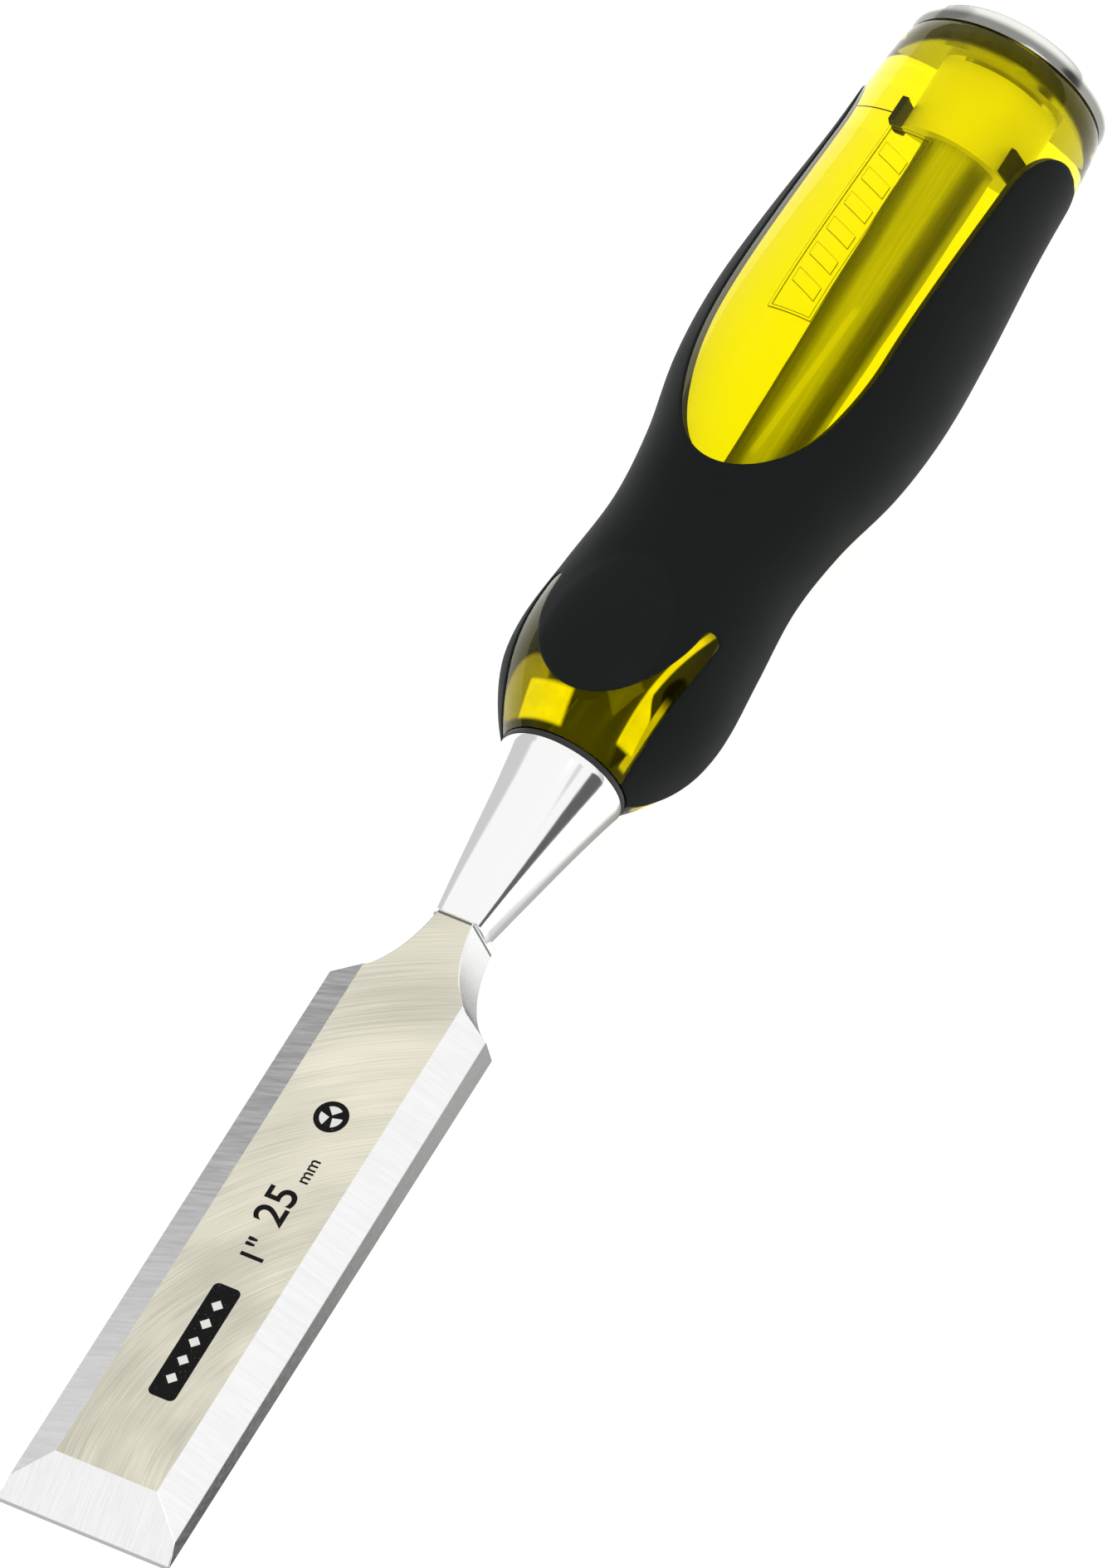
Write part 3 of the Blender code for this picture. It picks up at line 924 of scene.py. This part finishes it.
def build_marks(settings):
    ink = printed_mark(settings.mark_colour)
    bare = bare_mark((0.75, 0.74, 0.7))
    size_mark = joined("size_marks", [written('1"', 4.6, 43.1, 1.4), written("25", 5.9, 50.2, 0.5),
                                      written("mm", 2.5, 56.2, 1.6)])
    add_piece("size_marks", size_mark, [ink], "forged_steel")
    add_piece("plate_bar", slab(pill(8.9, 1.95, 0.8), 0.008, BADGE), [ink], "forged_steel")
    add_piece("plate_lozenges", lozenge_row(bare, 5, 2.9, 1.7), [bare], "forged_steel")
    add_piece("round_mark", slab(arc((0, 0), (2.3, 2.3), 0, 360, 48)[:-1], 0.008, ROUND_MARK),
              [ink], "forged_steel")
    wedges = []
    for start in (-38, 82, 202):
        corner = arc((0, 0), (0.25, 0.25), start + 38, start + 38, 1)[:1]
        wedges.append(slab(corner + arc((0, 0), (1.55, 1.55), start, start + 76, 10), 0.014,
                           ROUND_MARK))
    add_piece("round_mark_wedges", joined("round_mark_wedges", wedges), [bare], "forged_steel")


# ---------------------------------------------------------------------------------------------
# Handle


def build_washer():
    end = RIM + 0.02
    start = BOLSTER_END + 0.02
    outline = [
        (start, TANG_ROOT_RADIUS + 0.02), (start, WASHER_RADIUS - 0.2),
        (start + 0.2, WASHER_RADIUS), (end - 0.2, WASHER_RADIUS),
        (end, WASHER_RADIUS - 0.2), (end, TANG_ROOT_RADIUS + 0.02)]
    add_piece("bolster_washer_ring", to_mesh("bolster_washer_ring", turned(outline, True)),
              [washer_rubber((0.008, 0.008, 0.008))], "washer_black", "bolster_washer")


def handle_outline():
    """The clear core's outer outline, from its rim to its rounded end."""
    steps = 72
    straight_end = CORE_END - CORE_EDGE
    outline = []
    for i in range(steps + 1):
        along = RIM + (straight_end - RIM) * i / steps
        outline.append((along, handle_radius(along)))
    end_radius = handle_radius(CORE_END)
    outline += arc((straight_end, end_radius - CORE_EDGE), (CORE_EDGE, CORE_EDGE), 80, 0, 6)
    return outline


def standing(row):
    """A ring over a row of (distance, across) places on the core and back under them."""
    ring = []
    for places, lift in ((row, EMBOSS_HEIGHT), (reversed(row), -0.4)):
        for along, across in places:
            radius = handle_radius(along) + lift
            ring.append(point(along, across, math.sqrt(radius * radius - across * across)))
    return ring


def embossing():
    """A thin raised frame on the core's front with a row of slanting bars inside it."""
    middle, across = EMBOSS_PLACE
    corners = [(1, 1), (-1, 1), (-1, -1), (1, -1)]
    rows = []
    for (a, b), (c, d) in zip(corners, corners[1:] + corners[:1]):
        for i in range(16):
            x, y = a + (c - a) * i / 16, b + (d - b) * i / 16
            rows.append([(middle + x * (EMBOSS_LENGTH + t), across + y * (EMBOSS_WIDTH + t))
                         for t in (-EMBOSS_LINE, EMBOSS_LINE)])
    meshes = [to_mesh("emboss", lofted([standing(row) for row in rows], closed=True))]
    half = EMBOSS_WIDTH - 0.85
    for k in range(EMBOSS_BARS):
        centre = middle + EMBOSS_PITCH * (k - (EMBOSS_BARS - 1) / 2)
        rows = [[(centre - 0.45 * half * j / 4 + i * 1.05 / 2, across + half * j / 4)
                 for j in range(-4, 5)] for i in range(-2, 3)]
        meshes.append(to_mesh("emboss", lofted([standing(row) for row in rows])))
    return joined("emboss", meshes)


def build_core(settings):
    plug_bore = PLUG_RADIUS - 0.04
    spigot_bore = SPIGOT_RADIUS - 0.04
    recess = SPIGOT_START + 0.04
    bore = TANG_RADIUS - BORE_OVERLAP
    outline = handle_outline()
    outline += [(CORE_END, spigot_bore), (recess, spigot_bore), (recess, plug_bore),
                (PLUG_START + 0.04, plug_bore), (PLUG_START + 0.04, bore)]
    for i in range(9):
        along = TANG_ROOT_END + (RIM - TANG_ROOT_END) * i / 8
        outline.append((along, tang_radius(along) - BORE_OVERLAP))
    mesh = to_mesh("clear_core", turned(outline, True, 192))
    mesh = smoothed(combined("clear_core", mesh, embossing(), "UNION"), 40)
    middle, across = EMBOSS_PLACE
    for face in mesh.polygons:
        outward = Vector((0.0, face.center.y, face.center.z - AXIS_Z))
        inside = abs((EDGE_X - face.center.x) / MM - middle) < EMBOSS_LENGTH + 1
        inside = inside and abs(face.center.y / MM - across) < EMBOSS_WIDTH + 1
        inside = inside and outward.z > 10 * MM
        upright = abs(face.normal.dot(outward.normalized())) < 0.7
        face.material_index = 1 if inside and upright else 0
    # The second material, a dark opaque yellow, is painted shade on the upright sides of the
    # raised frame and bars.
    add_piece(
        "clear_core", mesh, [clear_handle(settings.core_colour), moulded_plug((0.12, 0.09, 0.0))],
        "clear_yellow", "handle_core")


def build_plug(settings):
    start, end = PLUG_START, TANG_END - 0.02
    outline = [(start, TANG_RADIUS + 0.05), (start, PLUG_RADIUS), (end, PLUG_RADIUS),
               (end, TANG_RADIUS + 0.05)]
    # The end sleeve has a painted glow of strength 0.25.
    add_piece("end_sleeve", to_mesh("end_sleeve", turned(outline, True)),
              [moulded_plug(settings.plug_colour, 0.25)], "plug_yellow", "end_plug")


def build_cap(settings):
    start = CORE_END + 0.02
    rim = bezier((start + 1.9, CAP_RADIUS), (CAP_RIM_TOP[0] - 0.05, CAP_RADIUS), CAP_RIM_TOP, 14)
    dome = bezier(CAP_RIM_TOP, CAP_DOME_CONTROL, (LENGTH, CAP_FLAT_RADIUS), 8)
    outline = [
        (SPIGOT_START, 0.0), (SPIGOT_START, SPIGOT_RADIUS),
        (SPIGOT_SHOULDER, SPIGOT_RADIUS), (start, SPIGOT_RADIUS),
        (start, CAP_RADIUS - 0.5), (start + 0.15, CAP_RADIUS - 0.15), (start + 0.5, CAP_RADIUS)]
    outline += rim + dome[1:] + [(LENGTH, 0.0)]
    mesh = to_mesh("steel_cap", turned(outline, False), 40)
    for face in mesh.polygons:
        along = (EDGE_X - face.center.x) / MM
        # The spigot's side next to the cap gets the painted shade.
        face.material_index = 1 if SPIGOT_SHOULDER < along < start - 0.01 else 0
    add_piece("steel_cap", mesh, [turned_cap(settings.cap_colour), spigot_painted_shade()],
              "cap_steel", "strike_cap")


# ---------------------------------------------------------------------------------------------
# Grip: one quarter is laid out flat, meshed, wrapped on the handle and mirrored

FLAT_SCALE = 15.0              # millimetres of the flat layout for one radian of turn
LIP = 0.4                      # radius of the grip's rounded lip
LIP_STEPS = 4


def to_layout(curve):
    """(distance, across) points of an outline seen from above on the flat layout."""
    return [Vector((along, FLAT_SCALE * math.asin(min(across / handle_radius(along), 1.0))))
            for along, across in curve]


def tongue_curve():
    """From the rim up the side lobe, round the notch and down the tongue to the centre line."""
    start = math.degrees(math.acos((TONGUE_CENTRE - RIM) / LOBE_LENGTH))
    lobe = arc((TONGUE_CENTRE, 0.0), (-LOBE_LENGTH, LOBE_HALF_WIDTH), start, 90, 40)
    middle = (LOBE_HALF_WIDTH + TONGUE_HALF_WIDTH) / 2
    end = (LOBE_HALF_WIDTH - TONGUE_HALF_WIDTH) / 2
    notch = arc((TONGUE_CENTRE, middle), (end * 1.2, end), 90, -90, 12)
    tongue = arc((TONGUE_CENTRE, 0.0), (-TONGUE_LENGTH, TONGUE_HALF_WIDTH), 90, 0, 44)
    return lobe + notch[1:-1] + tongue


def window_curve():
    """From the window's foot up the wing and round its tip to the middle of the wing."""
    foot = arc((WINDOW_FOOT + WINDOW_FOOT_LENGTH, 0.0),
               (-WINDOW_FOOT_LENGTH, WINDOW_HALF_WIDTH), 0, 90, 50)
    side_start = foot[-1][0]
    side = [
        (side_start + (WING_TIP - side_start) * i / 30, WINDOW_HALF_WIDTH) for i in range(1, 30)]
    tip = arc((WING_TIP, WINDOW_HALF_WIDTH + WING_TIP_WIDTH),
              (WING_TIP_LENGTH, -WING_TIP_WIDTH), 90, 0, 60)
    inside = [place for place in tip if place[1] < handle_radius(place[0])]
    crossing = inside[-1][0]
    inside[-1] = (crossing, handle_radius(crossing))
    return foot + side + inside


def offset_curve(curve, distance, first, last):
    """The curve moved to its left, with the given directions at its two ends."""
    moved = []
    for i, place in enumerate(curve):
        if i == 0:
            normal = first
        elif i == len(curve) - 1:
            normal = last
        else:
            ahead = curve[i + 1] - curve[i - 1]
            normal = Vector((-ahead.y, ahead.x)).normalized()
        moved.append(place + normal * distance)
    return moved


class Layout:
    """The flat layout of a quarter of the grip and its triangles."""

    def __init__(self):
        self.places, self.depths, self.edges = [], [], []
        self.tongue = to_layout(tongue_curve())
        self.window = to_layout(window_curve())
        top = FLAT_SCALE * math.pi / 2
        self.window[-1].y = top
        self.tongue[0].x = RIM
        self.top = top
        offsets = [LIP * (1 - math.cos(math.pi / 2 * i / LIP_STEPS))
                   for i in range(LIP_STEPS + 1)] + [2 * LIP]
        up, forward = Vector((0.0, 1.0)), Vector((1.0, 0.0))
        for distance in offsets:
            self.add_chain(offset_curve(self.tongue, distance, up, forward), distance)
            self.add_chain(offset_curve(self.window, distance, -forward, -forward), distance)
        self.margin = offsets[-1]
        self.add_line(self.tongue[-1], self.window[0])
        self.add_line(self.window[-1], Vector((RIM, top)))
        self.add_line(Vector((RIM, top)), self.tongue[0])
        self.fill()

    def add(self, place, depth):
        self.places.append(place)
        self.depths.append(depth)
        return len(self.places) - 1

    def add_chain(self, curve, depth):
        indices = [self.add(place, depth) for place in curve]
        self.edges += list(zip(indices, indices[1:]))

    def add_line(self, start, end):
        """A straight side of the quarter: a chain through the ends of the lips that lie on it."""
        length = (end - start).length
        direction = (end - start) / length
        on_line = {}
        for k, place in enumerate(self.places):
            ahead = (place - start).dot(direction)
            if (place - start - direction * ahead).length < 1e-3 and -1e-3 < ahead < length + 1e-3:
                on_line[round(ahead, 3)] = k
        for ahead, place in ((0.0, start), (round(length, 3), end)):
            if ahead not in on_line:
                on_line[ahead] = self.add(place, self.margin)
        count = int(length / 1.1)
        for i in range(1, count):
            ahead = length * i / count
            if min(abs(ahead - other) for other in on_line) > 0.5:
                on_line[ahead] = self.add(start + direction * ahead, self.margin)
        chain = [on_line[ahead] for ahead in sorted(on_line)]
        self.edges += list(zip(chain, chain[1:]))

    def fill(self):
        rows = int((LENGTH - RIM) / 1.0)
        columns = 22
        shell = self.tongue + self.window
        for i in range(1, rows):
            for j in range(1, columns):
                place = Vector((RIM + i * 1.0, self.top * (j + 0.5 * (i % 2) - 0.25) / columns))
                if self.covers(place) and min((place - other).length for other in shell) > 1.1:
                    self.add(place, self.margin)

    def covers(self, place):
        """Whether a place of the layout is rubber."""
        across = handle_radius(place.x) * math.sin(place.y / FLAT_SCALE)
        if place.x > WING_TIP:
            t = min((place.x - WING_TIP) / WING_TIP_LENGTH, 1.0)
            edge = WINDOW_HALF_WIDTH + WING_TIP_WIDTH * (1 - math.sqrt(1 - t * t))
            return across > edge and place.x < self.window[-1].x
        if place.x > WINDOW_FOOT:
            t = max(1 - (place.x - WINDOW_FOOT) / WINDOW_FOOT_LENGTH, 0.0)
            return across > WINDOW_HALF_WIDTH * math.sqrt(1 - t * t)
        if place.x > TONGUE_CENTRE:
            return True
        lobe = LOBE_HALF_WIDTH * math.sqrt(1 - ((TONGUE_CENTRE - place.x) / LOBE_LENGTH) ** 2)
        reach = (TONGUE_CENTRE - place.x) / TONGUE_LENGTH
        tongue = TONGUE_HALF_WIDTH * math.sqrt(max(1 - reach * reach, 0.0))
        return across > lobe or across < tongue

    def triangles(self):
        result = delaunay_2d_cdt(self.places, self.edges, [], 1, 1e-5)
        depths = [min(self.depths[k] for k in origins) if origins else self.margin
                  for origins in result[3]]
        places = result[0]
        faces = []
        for face in result[2]:
            a, b, c = (places[k] for k in face)
            if abs((b - a).cross(c - a)) > 1e-3:
                faces.append(list(face))
        return places, depths, faces


def lip_drop(depth):
    """How far the rounded lip lies below the surface at a distance from its edge."""
    reach = max(LIP - depth, 0.0)
    return LIP - math.sqrt(max(LIP * LIP - reach * reach, 0.0))


def pad_lift(along, across):
    """The thumb pad stands slightly proud of the tongue, on both faces."""
    reach = math.hypot((along - PAD_CENTRE) / PAD_LENGTH, across / PAD_WIDTH)
    t = min(max((1.08 - reach) / 0.16, 0.0), 1.0)
    return PAD_HEIGHT * t * t * (3 - 2 * t)


def quarter_to_mesh(bm, places, depths, faces, across_sign, height_sign, proud):
    """Wrap the flat quarter on the handle as a closed-edged shell, mirrored by the two signs."""
    outer, inner = [], []
    for place, depth in zip(places, depths):
        turn = place.y / FLAT_SCALE
        base = handle_radius(place.x)
        lift = pad_lift(place.x, base * math.sin(turn))
        for ring, radius in (
                (outer, base + proud + lift - lip_drop(depth)), (inner, base - GRIP_THICKNESS)):
            ring.append(bm.verts.new(point(place.x, across_sign * radius * math.sin(turn),
                                           height_sign * radius * math.cos(turn))))
    uses = {}
    for face in faces:
        bm.faces.new([outer[k] for k in face])
        bm.faces.new([inner[k] for k in reversed(face)])
        for a, b in zip(face, face[1:] + face[:1]):
            uses.setdefault(frozenset((a, b)), []).append((a, b))
    for used in uses.values():
        (a, b) = used[0]
        on_mirror = any(abs(places[a].y - line) < 1e-3 and abs(places[b].y - line) < 1e-3
                        for line in (0.0, FLAT_SCALE * math.pi / 2))
        if len(used) == 1 and not on_mirror:
            bm.faces.new((outer[b], outer[a], inner[a], inner[b]))


def build_grip(settings):
    places, depths, faces = Layout().triangles()
    bm = bmesh.new()
    for across_sign in (1, -1):
        for height_sign in (1, -1):
            quarter_to_mesh(
                bm, places, depths, faces, across_sign, height_sign, settings.grip_proud / MM)
    bmesh.ops.remove_doubles(bm, verts=bm.verts, dist=0.003 * MM)
    middle = LUG_START + LUG_LENGTH / 2
    for side in (1, -1):
        for reach, half_length, half_width in (
                ((LUG_INNER, LUG_HEAD), LUG_LENGTH / 2, LUG_HALF_WIDTH),
                ((LUG_HEAD - 0.1, LUG_OUTER), LUG_TIE, LUG_TIE)):
            corners = [(middle + along * half_length, across * side, height * half_width)
                       for along in (-1, 1) for across in reach for height in (-1, 1)]
            hull = [bm.verts.new(point(*corner)) for corner in corners]
            bmesh.ops.convex_hull(bm, input=hull)
    mesh = to_mesh("soft_grip", bm, 45)
    add_piece(
        "soft_grip", mesh, [soft_grip(settings.grip_colour, settings.pad_sheen_colour)],
        "grip_black", "grip")


# ---------------------------------------------------------------------------------------------
# Stage


def build_floor(settings):
    bm = bmesh.new()
    bmesh.ops.create_grid(bm, x_segments=2, y_segments=2, size=8.0)
    mesh = plain_mesh("pale_floor", bm)
    floor = placed("pale_floor", mesh)
    floor.location.z = -0.0008
    nodes = material("pale_floor")
    along, across, height = nodes.axes(nodes.place())
    grain = nodes.noise(nodes.place(), 300.0)
    # Painted shadow: reflection rays see the floor darkened in a strip under the tool.
    under = across.size().rise(0.022, 0.012) * along.rise(-0.09, -0.05)
    mirrored = nodes.node("ShaderNodeLightPath", output="Is Reflection Ray")
    shade = nodes.blend(under * mirrored, rgb((1.0, 1.0, 1.0)), rgb((0.04, 0.04, 0.04)))
    mesh.materials.append(nodes.principled(
        Base_Color=rgb((0.5, 0.5, 0.5)), Roughness=0.86 + grain * 0.08,
        Emission_Color=shade, Emission_Strength=settings.floor_glow))


# Cards in the studio that show as bands in the polished steel: direction, then the angles at
# which each is full and gone, and its shade.
CARDS = (
    ((-0.28, -0.91, 0.30), 18.0, 26.0, 0.64),
    ((-0.055, 0.646, 0.76), 3.0, 5.0, 0.72),
    ((-0.09, 0.96, 0.25), 11.0, 15.0, 0.12),
    ((0.633, -0.013, 0.775), 1.6, 2.4, 9.0),
)


def build_world(settings):
    """A soft studio: bright all over, with grey and black cards at its sides."""
    world = bpy.data.worlds.new("soft_studio")
    bpy.context.scene.world = world
    nodes = Shader(world)
    direction = nodes.node("ShaderNodeTexCoord", output="Generated")

    def towards(x, y, z):
        """The cosine between the view direction and a studio direction."""
        axis = Vector((x, y, z)).normalized()
        return nodes.node(
            "ShaderNodeVectorMath", {"operation": "DOT_PRODUCT"},
            {0: direction, 1: tuple(axis)}, output="Value")

    up = towards(0.0, 0.0, 1.0)
    colour = nodes.blend(up.rise(0.02, 0.4), rgb((0.55, 0.55, 0.55)), rgb((1.05, 1.05, 1.05)))
    for card, inner, outer, shade in CARDS:
        cover = towards(*card).rise(math.cos(math.radians(outer)), math.cos(math.radians(inner)))
        colour = nodes.blend(cover, colour, rgb((shade, shade, shade)))
    backdrop = nodes.nodes["Background"]
    nodes.put(backdrop.inputs["Color"], colour)
    backdrop.inputs["Strength"].default_value = settings.studio_strength


def view_axes():
    """The camera's right, up and backward directions."""
    out = Vector((0.0, math.sin(TURN), math.cos(TURN)))
    back = Vector((1.0, 0.0, 0.0)) * math.sin(TILT) + out * math.cos(TILT)
    to_cap = Vector((-1.0, 0.0, 0.0)) * math.cos(TILT) + out * math.sin(TILT)
    beside = Vector((0.0, math.cos(TURN), -math.sin(TURN)))
    right = to_cap * math.sin(ROLL) + beside * math.cos(ROLL)
    up = to_cap * math.cos(ROLL) - beside * math.sin(ROLL)
    return right, up, back


def build_camera():
    right, up, back = view_axes()
    on_axis, shift_right, shift_up = VIEW_MIDDLE
    target = point(on_axis, 0.0, 0.0) + (right * shift_right + up * shift_up) * MM
    lens = bpy.data.cameras.new("view")
    lens.sensor_fit = "VERTICAL"
    lens.sensor_height = 24.0
    lens.lens = 24.0 * VIEW_DISTANCE / (VIEW_HEIGHT * MM)
    lens.clip_start, lens.clip_end = 0.1, 60.0
    camera = placed("view", lens)
    turn = Matrix((right, up, back)).transposed().to_4x4()
    turn.translation = target + back * VIEW_DISTANCE
    camera.matrix_world = turn
    bpy.context.scene.camera = camera


def build_light(settings):
    """One large soft box over the tool's right, for a soft shape on the grip."""
    light = bpy.data.lights.new("key", "AREA")
    light.size = 0.9
    light.energy = settings.key_power
    holder = placed("key", light)
    holder.location = (0.5, 0.9, 1.6)
    holder.rotation_euler = holder.location.to_track_quat("Z", "Y").to_euler()


# ---------------------------------------------------------------------------------------------
# Add-on


def colour_property(name, description, default):
    return bpy.props.FloatVectorProperty(
        name=name, description=description, default=default,
        subtype="COLOR", size=3, min=0.0, max=1.0)


class ChiselSettings(bpy.types.PropertyGroup):
    """Sizes and colours of the chisel's finished pieces."""
    blade_edge: bpy.props.FloatProperty(
        name="Blade edge", description="Width of the softened edges of the blade",
        default=0.00018, unit="LENGTH", subtype="DISTANCE")
    grip_proud: bpy.props.FloatProperty(
        name="Grip proud", description="How far the grip stands out of the clear core",
        default=0.00018, unit="LENGTH", subtype="DISTANCE")
    steel_colour: colour_property("Steel", "Polished and ground steel", (0.93, 0.93, 0.93))
    flat_colour: colour_property("Flat", "The ground flat of the blade", (0.67, 0.64, 0.53))
    side_colour: colour_property("Side walls", "The blade's side walls", (0.42, 0.42, 0.41))
    cap_colour: colour_property("Cap", "The steel strike cap", (0.9, 0.9, 0.85))
    core_colour: colour_property("Core", "The clear handle core", (1.0, 0.875, 0.001))
    plug_colour: colour_property("Plug", "The opaque end plug", (1.0, 0.94, 0.2))
    grip_colour: colour_property("Grip", "The soft grip", (0.0075, 0.0095, 0.009))
    # The thumb pad's paler colour is a painted sheen.
    pad_sheen_colour: colour_property("Thumb pad", "The paler thumb pad", (0.010, 0.0115, 0.011))
    mark_colour: colour_property("Marks", "The etched marks", (0.004, 0.004, 0.004))
    floor_glow: bpy.props.FloatProperty(
        name="Floor glow", description="Light of the floor itself", default=0.8, min=0.0)
    studio_strength: bpy.props.FloatProperty(
        name="Studio", description="Strength of the studio light", default=1.0, min=0.0)
    key_power: bpy.props.FloatProperty(
        name="Key light", description="Power of the soft box", default=5.0, min=0.0,
        unit="POWER")


class ChiselOperator:
    """What the chisel's operators share."""
    bl_options = {"REGISTER", "UNDO"}


class CHISEL_OT_forging(ChiselOperator, bpy.types.Operator):
    """Build the blade, the bolster and the tang"""
    bl_idname = "chisel.forging"
    bl_label = "Forging"

    def execute(self, context):
        build_blade(context.scene.chisel)
        build_bolster(context.scene.chisel)
        return {"FINISHED"}


class CHISEL_OT_marks(ChiselOperator, bpy.types.Operator):
    """Build the etched marks on the blade"""
    bl_idname = "chisel.marks"
    bl_label = "Marks"

    def execute(self, context):
        build_marks(context.scene.chisel)
        return {"FINISHED"}


class CHISEL_OT_core(ChiselOperator, bpy.types.Operator):
    """Build the clear core, its end plug and the bolster washer"""
    bl_idname = "chisel.core"
    bl_label = "Core"

    def execute(self, context):
        build_washer()
        build_core(context.scene.chisel)
        build_plug(context.scene.chisel)
        return {"FINISHED"}


class CHISEL_OT_grip(ChiselOperator, bpy.types.Operator):
    """Build the soft grip"""
    bl_idname = "chisel.grip"
    bl_label = "Grip"

    def execute(self, context):
        build_grip(context.scene.chisel)
        return {"FINISHED"}


class CHISEL_OT_cap(ChiselOperator, bpy.types.Operator):
    """Build the steel strike cap"""
    bl_idname = "chisel.cap"
    bl_label = "Cap"

    def execute(self, context):
        build_cap(context.scene.chisel)
        return {"FINISHED"}


class CHISEL_OT_stage(ChiselOperator, bpy.types.Operator):
    """Build the floor, the studio light and the camera"""
    bl_idname = "chisel.stage"
    bl_label = "Stage"

    def execute(self, context):
        build_floor(context.scene.chisel)
        build_world(context.scene.chisel)
        build_light(context.scene.chisel)
        build_camera()
        context.scene.view_settings.view_transform = "Standard"
        return {"FINISHED"}


OPERATORS = (
    CHISEL_OT_forging, CHISEL_OT_marks, CHISEL_OT_core, CHISEL_OT_grip, CHISEL_OT_cap,
    CHISEL_OT_stage)


class CHISEL_PT_panel(bpy.types.Panel):
    """The chisel's settings and its operators"""
    bl_idname = "CHISEL_PT_panel"
    bl_label = "Chisel"
    bl_space_type = "VIEW_3D"
    bl_region_type = "UI"
    bl_category = "Chisel"

    def draw(self, context):
        for name in ChiselSettings.__annotations__:
            self.layout.prop(context.scene.chisel, name)
        for operator in OPERATORS:
            self.layout.operator(operator.bl_idname)


CLASSES = (ChiselSettings, *OPERATORS, CHISEL_PT_panel)


def register():
    for item in CLASSES:
        bpy.utils.register_class(item)
    bpy.types.Scene.chisel = bpy.props.PointerProperty(type=ChiselSettings)


def unregister():
    del bpy.types.Scene.chisel
    for item in reversed(CLASSES):
        bpy.utils.unregister_class(item)


def main():
    register()
    for operator in OPERATORS:
        group, name = operator.bl_idname.split(".")
        getattr(getattr(bpy.ops, group), name)()


if __name__ == "__main__":
    main()
